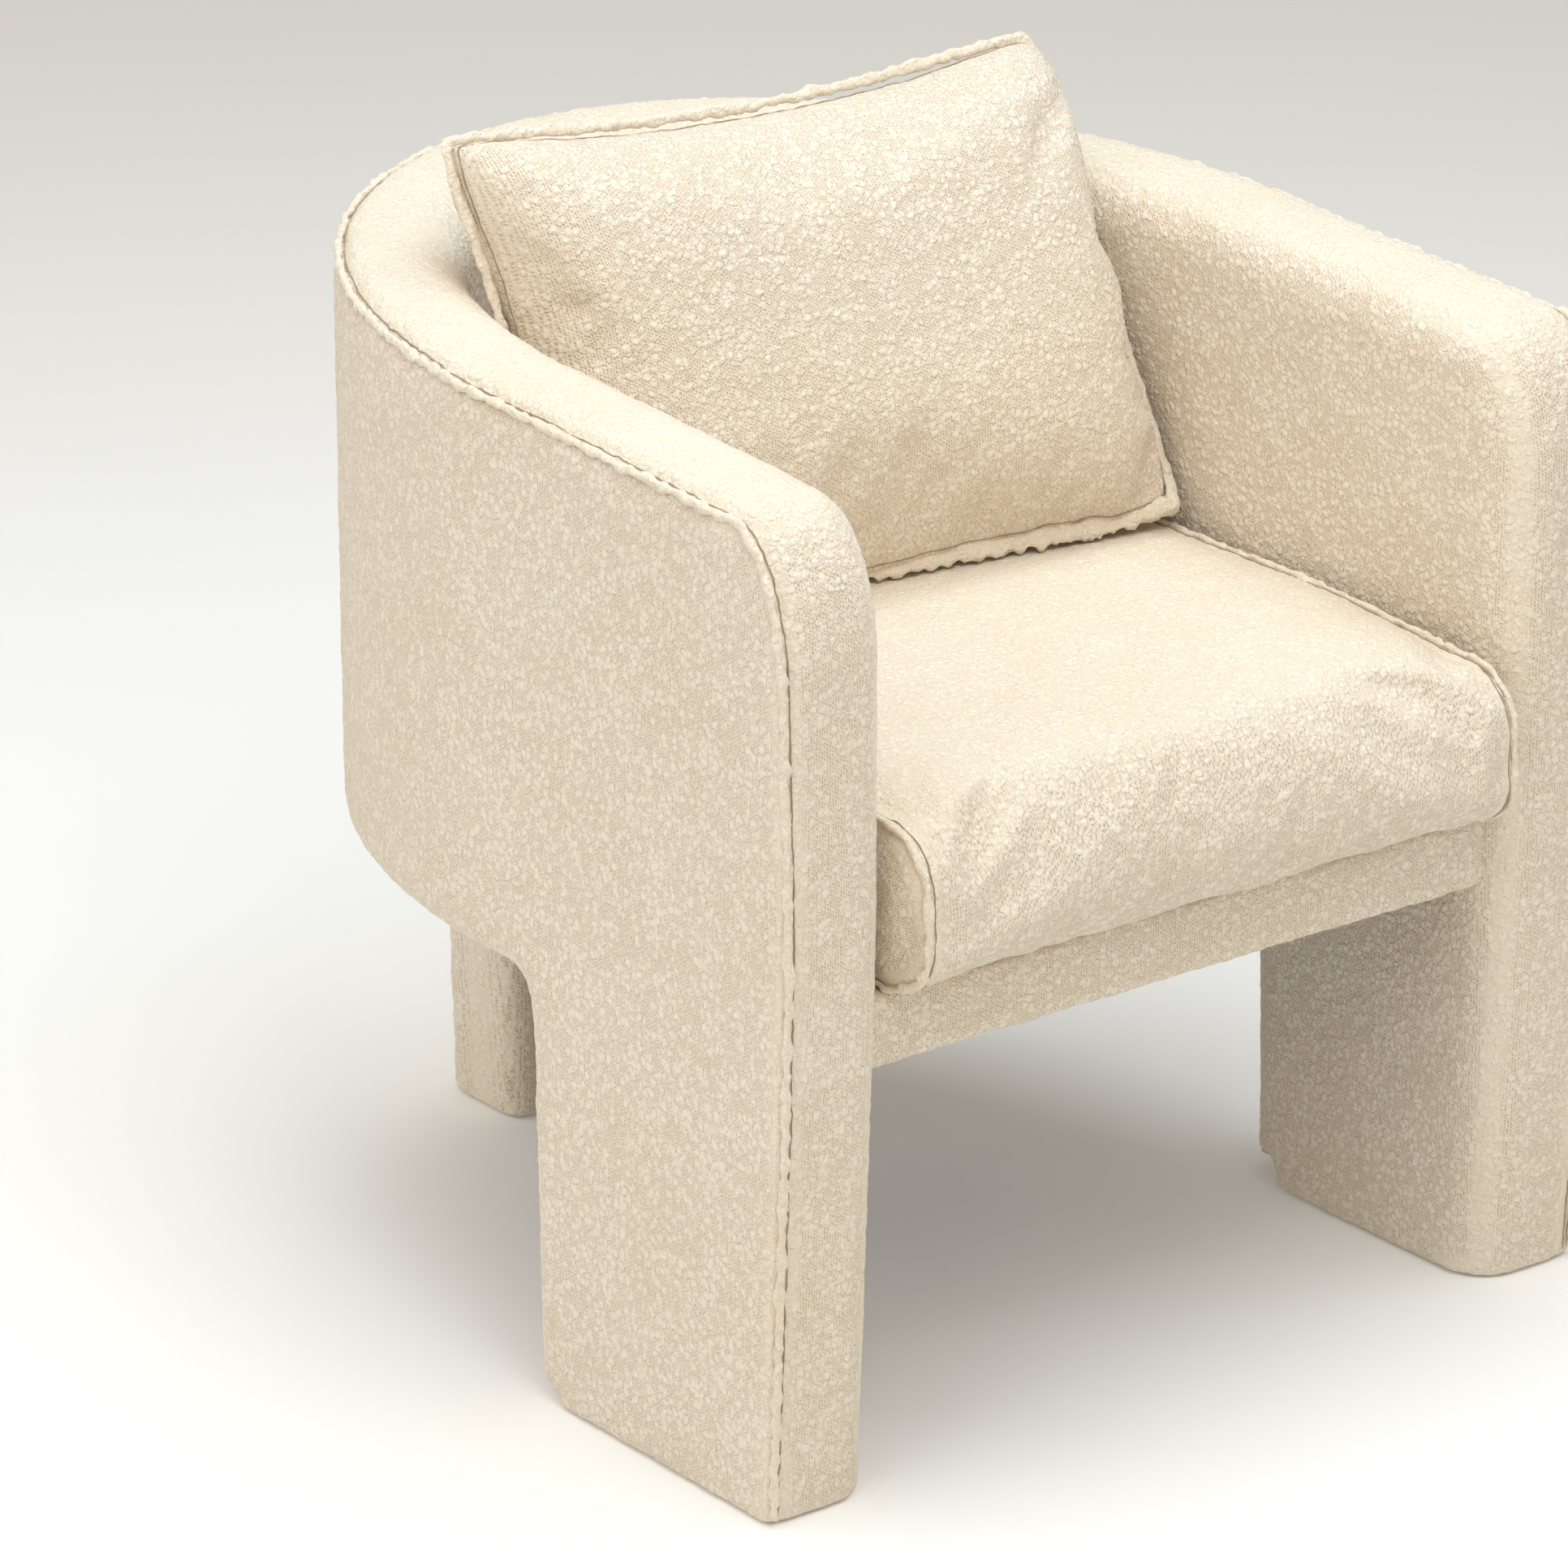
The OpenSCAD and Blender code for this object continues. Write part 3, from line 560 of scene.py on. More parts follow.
def nubble(obj):
    """Raises small yarn nubs and slow lumps in the mesh itself, for its outline."""
    for name, kind, size, strength in (
        ("nubs", "VORONOI", 0.0065, -0.0013), ("lumps", "CLOUDS", 0.03, 0.0022),
    ):
        texture = bpy.data.textures.new(f"{obj.name}_{name}", kind)
        texture.noise_scale = size
        raised = obj.modifiers.new(name, "DISPLACE")
        raised.texture = texture
        raised.texture_coords = "LOCAL"
        raised.strength = strength
        raised.mid_level = 0.5
    apply_modifiers(obj)


# ---- Paths and strips ----


def resample(path, step, closed=False):
    """The path's points again, evenly spaced."""
    path = np.asarray(path, float)
    if closed:
        path = np.concatenate([path, path[:1]])
    length = np.concatenate([[0], np.cumsum(np.linalg.norm(np.diff(path, axis=0), axis=1))])
    count = max(4, int(round(length[-1] / step)))
    at = np.linspace(0, length[-1], count + 1)
    if closed:
        at = at[:-1]
    return np.stack([np.interp(at, length, path[:, k]) for k in range(3)], 1)


def tangents(path, closed):
    if closed:
        t = np.roll(path, -1, axis=0) - np.roll(path, 1, axis=0)
    else:
        t = np.gradient(path, axis=0)
    return unit(t)


WELT_HALF = (0.0030, 0.0026)  # half a welt's width and height


def strip(name, path, facing, half_width, half_height, closed=False, sides=10, rough=0.30, seed=1):
    """A nubby padded strip swept along a path. facing is the way each point's top looks."""
    rng = np.random.default_rng(seed)
    n = len(path)
    t = tangents(path, closed)
    up = np.broadcast_to(np.asarray(facing, float), path.shape)
    up = unit(up - (up * t).sum(1)[:, None] * t)
    across = np.cross(t, up)
    angle = np.linspace(0, 2 * np.pi, sides, endpoint=False)
    bumps = rng.normal(0, rough, (n, sides))
    for axis in (0, 1):
        bumps = (1.2 * bumps + np.roll(bumps, 1, axis) + np.roll(bumps, -1, axis)) / 1.9
    bumps = 1 + np.clip(bumps, -0.45, 0.75)
    half_width = np.broadcast_to(half_width, n)[:, None]
    half_height = np.broadcast_to(half_height, n)[:, None]
    ring = (
        path[:, None]
        + across[:, None] * (np.cos(angle) * half_width * bumps)[..., None]
        + up[:, None] * (np.sin(angle) * half_height * bumps)[..., None]
    )
    rows = n if closed else n - 1
    i = np.arange(rows)[:, None]
    j = np.arange(sides)[None]
    i1, j1 = (i + 1) % n, (j + 1) % sides
    quads = np.stack(
        [i * sides + j, i * sides + j1 + 0 * i, i1 * sides + j1, i1 * sides + j + 0 * i], -1
    ).reshape(-1, 4)
    verts = ring.reshape(-1, 3)
    obj = quad_object(name, verts, quads, fabric)
    if not closed:
        cap = bpy.data.meshes.new(name)
        faces = quads.tolist() + [list(range(sides))[::-1], list(range((n - 1) * sides, n * sides))]
        cap.from_pydata(verts.tolist(), [], faces)
        cap.materials.append(fabric)
        obj.data = cap
        shade_smooth(cap)
    recalculate(obj)
    return obj


def recalculate(obj):
    """Turns the faces' normals outwards."""
    mesh = bmesh.new()
    mesh.from_mesh(obj.data)
    bmesh.ops.recalc_face_normals(mesh, faces=mesh.faces)
    mesh.to_mesh(obj.data)
    mesh.free()


def snap(path, obj):
    """The path laid on an object's surface, and the surface's normals there."""
    tree = BVHTree.FromPolygons(
        [v.co for v in obj.data.vertices], [p.vertices for p in obj.data.polygons]
    )
    found = [tree.find_nearest(Vector(point)) for point in path]
    return np.array([hit[0] for hit in found]), np.array([hit[1] for hit in found])


def stitch_and_groove_shade_line(name, path, closed, obj, body, seed):
    """A dark line in the groove beside a seam, sunk here and there under the pile: partly the seam's thread,
    partly painted shade of the groove.
    """
    rng = np.random.default_rng(seed)
    path = resample(path, 0.0025, closed)
    wave = np.cumsum(rng.normal(0, 0.00018, (len(path), 3)), axis=0)
    wave -= np.linspace(0, 1, len(path))[:, None] * wave[-1]
    path = path + np.clip(wave, -0.0008, 0.0008)
    path, normals = snap(path, obj)
    deep = rng.normal(0, 1, len(path))
    for _ in range(3):
        deep = (deep + np.roll(deep, 1) + np.roll(deep, -1)) / 2.2
    path = path + normals * np.clip(0.00035 + 0.00025 * deep, -0.0004, 0.0006)[:, None]
    line = strip(name, path, normals, 0.00055, 0.00045, closed, sides=6, rough=0.2, seed=seed)
    line.data.materials.clear()
    line.data.materials.append(thread_and_shade)
    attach(line, body)
    return line


# ---- The upholstered shell ----


BAND_CROWN = 0.003  # how much the band along the arms and back swells at its middle
LEG_REAR_SLANT = 0.008  # how much less deep the front legs are on their inner side
EDGE_ARM_INNER = 0.036  # the radii of the edges
EDGE_UNDER = 0.026
EDGE_FOOT = 0.004
EDGE_REAR_LEG = 0.024
REAR_LEG_TAPER = 0.003
REAR_LEG_TOP = 0.336
REAR_LEG_INSET = 0.0015


def build_shell(step):
    """The walls, arms, back and legs as one skin, from their outlines in plan and from the side."""
    pad = 0.012
    low = (-HALF_W - pad, -pad, FOOT - pad)
    high = (HALF_W + pad, DEPTH + pad, BACK_H + pad)
    xs, ys, zs = grid_axes(low, high, step)
    out = field_over(xs, ys, plan_ring(0))[:, :, None].astype(np.float32)
    into = -field_over(xs, ys, plan_ring(WALL))[:, :, None].astype(np.float32)
    front = field_over(ys, zs, top_front_ring())[None].astype(np.float32)
    under = field_over(ys, zs, under_ring())[None].astype(np.float32)
    x = xs[:, None, None].astype(np.float32)
    y = ys[None, :, None].astype(np.float32)
    z = zs[None, None, :].astype(np.float32)
    half_wall = WALL / 2
    crown = front + BAND_CROWN * np.clip((-out - half_wall) / half_wall, -1, 1) ** 2
    under = under + LEG_REAR_SLANT * np.clip(-out / WALL, 0, 1) * (z < SHELL_Z - LEG_FILLET)
    # The inner edge is full at the legs and tight above. The outer one is tight below and full at the top.
    edge_in = (0.046 - 0.040 * smooth_step(z, 0.24, 0.31)).astype(np.float32)
    edge_top = (0.007 + 0.018 * smooth_step(z, 0.48, 0.68)).astype(np.float32)
    field = round_join(out, crown, edge_top)
    field = np.maximum(field, round_join(into, crown, EDGE_ARM_INNER))
    field = np.maximum(field, round_join(out, under, EDGE_UNDER))
    field = np.maximum(field, round_join(into, under, edge_in))
    field = round_join(field, FOOT - z, EDGE_FOOT)
    sides = np.abs(x) - (REAR_LEG_HALF - REAR_LEG_TAPER + (LEG_FLARE + REAR_LEG_TAPER) * z / SHELL_Z)
    leg = np.maximum(
        round_join(out + REAR_LEG_INSET, sides, EDGE_REAR_LEG),
        round_join(into + REAR_LEG_INSET, sides, EDGE_REAR_LEG),
    )
    ends = np.maximum(FOOT - z, z - REAR_LEG_TOP)
    leg = np.maximum(round_join(leg, ends, EDGE_FOOT), ARM_LEN - y)
    return surface_net(np.minimum(field, leg), (xs[0], ys[0], zs[0]), step)


SHELL_STEP = 0.0036
verts, quads = build_shell(SHELL_STEP)
shell = quad_object("shell_upholstery", verts + PLACED, quads, fabric)


SEAM_RISE = (0.48, 0.70)  # the heights between which the seam leaves the leg's edge for the arm's top
SEAM_DROP = 0.0114  # how far the seam is below the top
SEAM_INSET = 0.0038
LEG_SEAM_DROP = 0.0004
LEG_SEAM_INSET = 0.0040
GROOVE = 0.0052  # from the seam to the dark line beside it: thread, with painted shade of the groove
ABOVE_FOOT = 0.0065  # where the welt and its dark line of thread and painted groove shade end


def seam_path():
    """The outer seam, from one foot over the arm, round the back and down to the other foot."""
    left = []
    for y, z in front_line(20):
        rise = smooth_step(z, *SEAM_RISE)
        drop = LEG_SEAM_DROP + (SEAM_DROP - LEG_SEAM_DROP) * rise
        inset = LEG_SEAM_INSET + (SEAM_INSET - LEG_SEAM_INSET) * rise
        turn = np.clip(y / ROLL_Y, 0, 1)
        left.append((-(HALF_W - inset), y + drop * (1 - turn), z - drop * turn))
    for y in np.linspace(ROLL_Y, ARM_LEN, 24)[1:]:
        left.append((-(HALF_W - SEAM_INSET), y, top_z(y) - SEAM_DROP))
    round_back = [(x, y, top_z(y) - SEAM_DROP) for x, y in back_curve(SEAM_INSET)[1:-1]]
    right = [(-x, y, z) for x, y, z in left[::-1]]
    return resample(np.array(left + round_back + right) + PLACED, 0.0028)


def fade_where_it_changes(obj, kind, strength, rings=2, smoothing=3):
    """Fades the weave out where its direction changes from one kind of surface to the next."""
    edges = np.empty(len(obj.data.edges) * 2, np.int32)
    obj.data.edges.foreach_get("vertices", edges)
    a, b = edges.reshape(-1, 2).T
    at_change = np.zeros(len(kind), bool)
    changes = kind[a] != kind[b]
    at_change[a[changes]] = True
    at_change[b[changes]] = True
    for _ in range(rings):
        spread = at_change[a] | at_change[b]
        at_change[a[spread]] = True
        at_change[b[spread]] = True
    fade = np.where(at_change, 0.0, 1.0)
    count = np.bincount(np.concatenate([a, b]), minlength=len(kind))
    for _ in range(smoothing):
        total = np.bincount(a, fade[b], len(kind)) + np.bincount(b, fade[a], len(kind))
        fade = np.where(at_change, 0.0, total / np.maximum(count, 1))
    return strength * fade


def wall_weave(obj):
    """The weave runs up the walls. Across, it is measured round the wall, so that it doesn't stretch."""
    co = positions(obj) - PLACED
    normal = vertex_normals(obj)
    gap, outer = ring_field(co[:, :2], plan_ring(0))
    _, inner = ring_field(co[:, :2], plan_ring(WALL))
    is_inner = -gap > WALL / 2
    on_band = (-gap > 0.006) & (co[:, 1] < 0.12) & (-gap < WALL + 0.03)
    is_front = on_band & (np.abs(normal[:, 0]) < 0.72) & (normal[:, 1] < -0.02)
    is_rear = (normal[:, 1] > 0.72) & (co[:, 2] < SHELL_Z)
    across = np.where(is_front | is_rear, co[:, 0], np.where(is_inner, inner, outer))
    # On upward faces the knit shows less: its relief and the painted shade in its holes both weaken.
    show = 1 - 0.75 * smooth_step(np.abs(normal[:, 2]), 0.45, 0.85)
    kind = np.where(is_front, 2, np.where(is_rear, 3, is_inner.astype(int)))
    set_weave(obj, across, co[:, 2], fade_where_it_changes(obj, kind, show))


def press_groove(obj, path, reach=0.006, depth=0.0012):
    """Presses a shallow groove into a mesh along a path."""
    co = positions(obj)
    normal = vertex_normals(obj)
    low, high = path.min(0) - reach, path.max(0) + reach
    near = np.nonzero(((co > low) & (co < high)).all(1))[0]
    dip = depth * (1 - smooth_step(gap_to(co[near], path), 0.0, reach))
    co[near] -= normal[near] * dip[:, None]
    set_positions(obj, co)


wall_weave(shell)
seam = seam_path()
seam_t = tangents(seam, False)
local = seam - PLACED
sideways = np.where(local[:, 1] < ARM_LEN, np.sign(local[:, 0]), 0)
outward = unit(
    np.stack(
        [
            np.where(sideways != 0, sideways, local[:, 0] / HALF_W**2),
            np.where(sideways != 0, 0, (local[:, 1] - ARM_LEN) / BACK_REACH**2),
            np.zeros(len(seam)),
        ],
        1,
    )
)
bandward = np.cross(seam_t, outward)
flip = np.sign((bandward * np.array([0, -1, 1.0])).sum(1))
bandward *= np.where(flip == 0, 1, flip)[:, None]
rise = smooth_step(local[:, 2], *SEAM_RISE)[:, None]
ridge_up = unit(outward * (1 + 0.4 * rise) + bandward * (1 - 0.4 * rise))
groove = seam + unit(bandward * rise - outward) * GROOVE
press_groove(shell, groove)
nubble(shell)
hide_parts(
    "outer_cover", "inner_cover", "left_arm_padding", "right_arm_padding", "back_padding",
    "left_leg_padding", "right_leg_padding", "rear_leg_cover", "rear_leg_padding",
)
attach(shell, "frame")

above_foot = local[:, 2] > ABOVE_FOOT
welt_path = (seam + ridge_up * 0.0006)[above_foot]
welt = strip("shell_welt", welt_path, ridge_up[above_foot], *WELT_HALF, seed=11)
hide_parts("edge_welt")
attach(welt, "frame")
# A dark line beside the shell's seam: thread, with painted shade of the groove.
stitch_and_groove_shade_line("shell_stitches_and_groove_shade", groove[above_foot], False, shell, "frame", seed=12)

# ---- The front rail ----

RAIL_HALF = HALF_W - WALL + 0.006
RAIL_FRONT = 0.0290
RAIL_REAR = 0.0615
RAIL_LOW = 0.3055
RAIL_TOP = CUSHION_Z - 0.0006
RAIL_EDGE_LOW = 0.011
RAIL_EDGE_TOP = 0.0055


def build_rail(step):
    low, high = (-RAIL_HALF - 0.01, 0.016, 0.296), (RAIL_HALF + 0.01, 0.074, 0.372)
    xs, ys, zs = grid_axes(low, high, step)
    x, y, z = np.meshgrid(xs, ys, zs, indexing="ij")
    field = np.maximum(RAIL_FRONT - y, y - RAIL_REAR)
    field = round_join(field, RAIL_LOW - z, RAIL_EDGE_LOW)
    field = round_join(field, z - RAIL_TOP, RAIL_EDGE_TOP)
    field = np.maximum(field, np.abs(x) - RAIL_HALF)
    return surface_net(field, (xs[0], ys[0], zs[0]), step)


verts, quads = build_rail(0.003)
rail = quad_object("front_rail_upholstery", verts + PLACED, quads, fabric)
co = positions(rail) - PLACED
set_weave(rail, co[:, 0], co[:, 2] + co[:, 1], 1.0)
nubble(rail)
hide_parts("front_rail_cover", "front_rail_padding")
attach(rail, "frame")

# ---- The cloth under the seat ----


def stretched_cloth(node, name, step=0.025, thickness=0.0006, sag=0.0015):
    """The lower face of a flat CAD node as its own thin cloth, in a grid, sagging a little inside."""
    source = frame["nodes"][node].data
    faces = [list(p.vertices) for p in source.polygons if p.normal.z < -0.9]
    mesh = bmesh.new()
    corner = {}
    for face in faces:
        for k in face:
            if k not in corner:
                corner[k] = mesh.verts.new(source.vertices[k].co)
        mesh.faces.new([corner[k] for k in face])
    (x0, y0, z0), (x1, y1, _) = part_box(node)
    for axis, low, high in ((0, x0, x1), (1, y0, y1)):
        for at in np.arange(low + step, high, step):
            place = [0.0, 0.0, 0.0]
            normal = [0.0, 0.0, 0.0]
            place[axis], normal[axis] = at, 1.0
            every = mesh.verts[:] + mesh.edges[:] + mesh.faces[:]
            bmesh.ops.bisect_plane(mesh, geom=every, dist=1e-5, plane_co=place, plane_no=normal)
    bmesh.ops.remove_doubles(mesh, verts=mesh.verts, dist=1e-6)
    data = bpy.data.meshes.new(name)
    mesh.to_mesh(data)
    mesh.free()
    obj = link(name, data, black_cloth)
    area = sum(p.area for p in data.polygons)
    co = positions(obj)
    rim = np.array([source.vertices[k].co[:2] for k in corner])
    away = np.hypot(co[:, None, 0] - rim[None, :, 0], co[:, None, 1] - rim[None, :, 1]).min(1)
    co[:, 2] = z0 + thickness - sag * smooth_step(away, 0.0, 0.12)
    set_positions(obj, co)
    thick = obj.modifiers.new("thickness", "SOLIDIFY")
    thick.thickness = thickness
    thick.offset = 1.0
    apply_modifiers(obj)
    return obj, (x1 - x0, y1 - y0), area


dust_cloth, dust_flat, dust_area = stretched_cloth("dust_cover", "dust_cover_cloth")
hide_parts("dust_cover")
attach(dust_cloth, "frame")

# ---- Cloth ----


def inflate(obj, pins, pressure, cap, frames=20, grow=0.02, stiffness=15.0):
    """Blows a closed cloth form up from inside. pins is how firmly each vertex is held, 0 to 1."""
    start = positions(obj)
    group = obj.vertex_groups.new(name="pins")
    for level in np.unique(np.round(pins, 1)):
        if level > 0:
            held = np.nonzero(np.round(pins, 1) == level)[0].tolist()
            group.add(held, float(level), "REPLACE")
    cloth = obj.modifiers.new("cloth", "CLOTH")
    settings = cloth.settings
    settings.vertex_group_mass = "pins"
    settings.pin_stiffness = 2.0
    settings.use_pressure = True
    settings.uniform_pressure_force = pressure
    settings.effector_weights.gravity = 0
    settings.tension_stiffness = stiffness
    settings.compression_stiffness = stiffness
    settings.bending_stiffness = 0.6
    settings.shrink_min = -grow
    settings.quality = 5
    cloth.collision_settings.use_collision = False
    cloth.point_cache.frame_start = 1
    cloth.point_cache.frame_end = frames
    scene = bpy.context.scene
    for frame_number in range(1, frames + 1):
        scene.frame_set(frame_number)
    graph = bpy.context.evaluated_depsgraph_get()
    move = read_vectors(obj.evaluated_get(graph).to_mesh().vertices, "co") - start
    obj.evaluated_get(graph).to_mesh_clear()
    obj.modifiers.remove(cloth)
    obj.vertex_groups.clear()
    scene.frame_set(1)
    far = np.linalg.norm(move, axis=1)
    set_positions(obj, start + move * (cap * np.tanh(far / cap) / np.maximum(far, 1e-9))[:, None])


def refine(obj, levels=1):
    finer = obj.modifiers.new("finer", "SUBSURF")
    finer.levels = levels
    finer.render_levels = levels
    apply_modifiers(obj)


# ---- The seat cushion ----

SEAT_OUT = WALL + CUSHION_GAP + 0.006
SEAT_FRONT = -0.0165
SEAT_TOP = 0.4835
SEAT_LOW = CUSHION_Z
SEAT_ROLL = 0.048  # the radius at the top front
SEAT_HEEL = (0.060, 0.036)  # how deep and how high the curve at the bottom front is
SEAT_EDGE = 0.006
SEAT_SEAM = 0.0012  # how far the seam is inside the form
SEAT_GROOVE = 0.0048  # from the seam to the dark line beside it: thread, with painted shade of the groove


def seat_side_ring(inset=0.0, steps=14):
    """Side view of the cushion: flat below, with a deep roll at the top front."""
    front, low, top = SEAT_FRONT + inset, SEAT_LOW + inset, SEAT_TOP - inset
    r_top = SEAT_ROLL - inset
    lower_y, lower_z = (size - inset for size in SEAT_HEEL)
    a = np.linspace(0, np.pi / 2, steps)
    lower = np.stack([front + lower_y - lower_y * np.sin(a), low + lower_z - lower_z * np.cos(a)], 1)
    upper = np.stack([front + r_top - r_top * np.cos(a), top - r_top + r_top * np.sin(a)], 1)
    return np.concatenate([lower, upper, [[DEPTH, top], [DEPTH, low]]])


def build_seat(step):
    pad, half = 0.02, 0.28
    low = (-half, SEAT_FRONT - pad, SEAT_LOW - pad)
    high = (half, DEPTH - SEAT_OUT + pad, SEAT_TOP + pad)
    xs, ys, zs = grid_axes(low, high, step)
    out = field_over(xs, ys, plan_ring(SEAT_OUT))[:, :, None]
    roll = field_over(ys, zs, seat_side_ring())[None]
    return surface_net(round_join(out, roll, SEAT_EDGE), (xs[0], ys[0], zs[0]), step)


def seat_seam():
    """The edge of the cushion's side strip: along the top, down the front, and back along the bottom."""
    k = SEAT_OUT + SEAT_SEAM
    half = HALF_W - k
    top, low = SEAT_TOP - SEAT_SEAM, SEAT_LOW + 0.0022
    nose = seat_side_ring(SEAT_SEAM)[:-2][::-1]
    nose[:, 1] = np.maximum(nose[:, 1], low)
    top_back = [(x, y, top) for x, y in back_curve(k)]
    low_back = [(x, y, low) for x, y in back_curve(k)[::-1]]
    right = [(half, y, z) for y, z in nose]
    left = [(-half, y, z) for y, z in nose[::-1]]
    return resample(np.array(top_back + right + low_back + left) + PLACED, 0.0030, closed=True)


verts, quads = build_seat(0.007)
seat = quad_object("seat_cushion_fabric", verts + PLACED, quads, fabric)
seam_ring = seat_seam()
co = positions(seat)
held = 1 - smooth_step(gap_to(co, seam_ring), 0.004, 0.009)
held = np.maximum(held, co[:, 2] < SEAT_LOW + 0.003)
inflate(seat, held, pressure=4.0, cap=0.018)


def settle_seat(points):
    """The cushion's top rises a little towards the back, and the pillow's weight flattens it there."""
    y = points[:, 1] + MID_Y
    share = np.clip((points[:, 2] - SEAT_LOW) / (SEAT_TOP - SEAT_LOW), 0, 1)
    points[:, 2] += 0.009 * share * smooth_step(y, 0.03, 0.20)
    top = 0.5035 - 0.0065 * smooth_step(y, 0.31, 0.36) - 0.002 * (points[:, 0] / 0.26) ** 2
    soft = 0.006
    over = points[:, 2] - (top - soft)
    points[:, 2] = np.where(over > 0, top - soft + soft * np.tanh(over / soft), points[:, 2])
    points[:, 2] = np.maximum(points[:, 2], SEAT_LOW)
    return points


set_positions(seat, settle_seat(positions(seat)))
refine(seat)
seam_ring = settle_seat(seam_ring)
co = positions(seat)
n_seat = vertex_normals(seat)
on_side = np.abs(n_seat[:, 0]) > 0.75
# On upward faces the knit shows less: its relief and the painted shade in its holes both weaken.
set_weave(
    seat,
    np.where(on_side, co[:, 2], co[:, 0]),
    np.where(on_side, co[:, 1], co[:, 1] - co[:, 2]),
    fade_where_it_changes(seat, on_side, 1 - 0.65 * smooth_step(n_seat[:, 2], 0.5, 0.9)),
)
nubble(seat)

# The underside is drawn up over the zip, so that the zip shows from below.
co = positions(seat)
zip_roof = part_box("seat_zip")[1][2] + 0.0003
open_to = 1 - smooth_step(away_from(co, "seat_zip", 0.0015), 0.0, 0.004)
over_zip = (co[:, 2] < SEAT_LOW + 0.005) & (open_to > 0)
co[over_zip, 2] += (zip_roof - co[over_zip, 2]) * open_to[over_zip]
set_positions(seat, co)
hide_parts("seat_cushion_cover", "seat_cushion_wrap", "seat_cushion_core")
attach(seat, "seat_cushion")

# The welt faces out from the cushion's middle, along the curve at the back and round the roll at the front.
SEAT_MID_Z = 0.425
local = seam_ring - PLACED
zero = np.zeros(len(local))
facing = np.stack([np.sign(local[:, 0]), zero, np.sign(local[:, 2] - SEAT_MID_Z)], 1)
behind = local[:, 1] > ARM_LEN
nose = (local[:, 1] < 0.03) & ~behind
facing[behind, 0] = local[behind, 0] / 0.27
facing[behind, 1] = (local[behind, 1] - ARM_LEN) / 0.35
facing[nose, 1] = -1.0
facing[nose, 2] = np.clip((local[nose, 2] - 0.435) / 0.05, -1, 1)
facing = unit(facing)
seat_welt = strip("seat_cushion_welt", seam_ring, facing, *WELT_HALF, closed=True, seed=21)
seat_welt.parent = seat
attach(seat_welt, "seat_cushion")
inward = np.stack([-np.sign(local[:, 0]), zero, zero], 1)
inward[behind] = -facing[behind] * np.array([1, 1, 0])
upper = local[:, 2] > SEAT_LOW + 0.012
# A dark line beside the cushion's seam: thread, with painted shade of the groove.
stitch_and_shade_path = (seam_ring + unit(inward) * SEAT_GROOVE)[upper]
gap_at = np.argmax(np.linalg.norm(np.diff(stitch_and_shade_path, axis=0), axis=1))
stitch_and_shade_path = np.roll(stitch_and_shade_path, -(gap_at + 1), axis=0)
stitch_and_groove_shade_line("seat_cushion_stitches_and_groove_shade", stitch_and_shade_path, False, seat, "seat_cushion", seed=22)

# ---- The back pillow ----

CORNERS = {
    "tl": (-0.272, 0.520, 0.842), "tr": (0.250, 0.512, 0.832),
    "bl": (-0.258, 0.405, 0.5035), "br": (0.262, 0.350, 0.5035),
}
FRONT_SWELL = 0.074
BACK_SWELL = 0.060


def pillow_edge(a, b, pull, t):
    """An edge of the pillow between two corners, pulled in at its middle."""
    a, b = np.asarray(CORNERS[a]), np.asarray(CORNERS[b])
    line = a + (b - a) * t[..., None]
    return line + np.asarray(pull) * (4 * t * (1 - t))[..., None]


def pillow_point(u, v):
    """A point of the sheet through the pillow's seam. u and v run from 0 to 1."""
    bottom = pillow_edge("bl", "br", (0, 0.009, 0.0), u)
    top = pillow_edge("tl", "tr", (0, -0.006, -0.018), u)
    left = pillow_edge("bl", "tl", (0.020, 0, 0), v)
    right = pillow_edge("br", "tr", (-0.004, 0, 0), v)
    u, v = u[..., None], v[..., None]
    bl, br, tl, tr = (np.asarray(CORNERS[k]) for k in ("bl", "br", "tl", "tr"))
    edges = (1 - v) * bottom + v * top + (1 - u) * left + u * right
    return edges - ((1 - u) * (1 - v) * bl + u * (1 - v) * br + (1 - u) * v * tl + u * v * tr)


def round_corner(u, v, share=0.030):
    """Pulls the corners of the square in, so that they are blunt."""
    a, b = 2 * u - 1, 2 * v - 1
    near = np.abs(a * b) ** 9
    return 0.5 + a * (1 - share * near) / 2, 0.5 + b * (1 - share * near) / 2


def pillow_grid(across, up):
    """The pillow's middle sheet and its two swollen faces. The front swells more slowly near the base."""
    u, v = np.meshgrid(np.linspace(0, 1, across + 1), np.linspace(0, 1, up + 1), indexing="ij")
    ur, vr = round_corner(u, v)
    mid = pillow_point(ur, vr)
    du = np.gradient(mid, axis=0)
    dv = np.gradient(mid, axis=1)
    normal = unit(np.cross(du, dv))
    a, b = np.abs(2 * u - 1), np.abs(2 * v - 1)
    swell = np.clip((1 - a**5.0) * (1 - b**4.0), 0, 1) ** 0.38
    slow = np.clip((1 - a**5.0) * (1 - b**3.2), 0, 1) ** 0.66
    low = 1 - smooth_step(v, 0.25, 0.5)
    front_swell = swell + (slow - swell) * low
    front = mid + normal * (FRONT_SWELL * front_swell)[..., None]
    back = mid - normal * (BACK_SWELL * swell)[..., None]
    return u, v, mid, front, back


def grid_cells(ids):
    return np.stack([ids[:-1, :-1], ids[1:, :-1], ids[1:, 1:], ids[:-1, 1:]], -1).reshape(-1, 4)


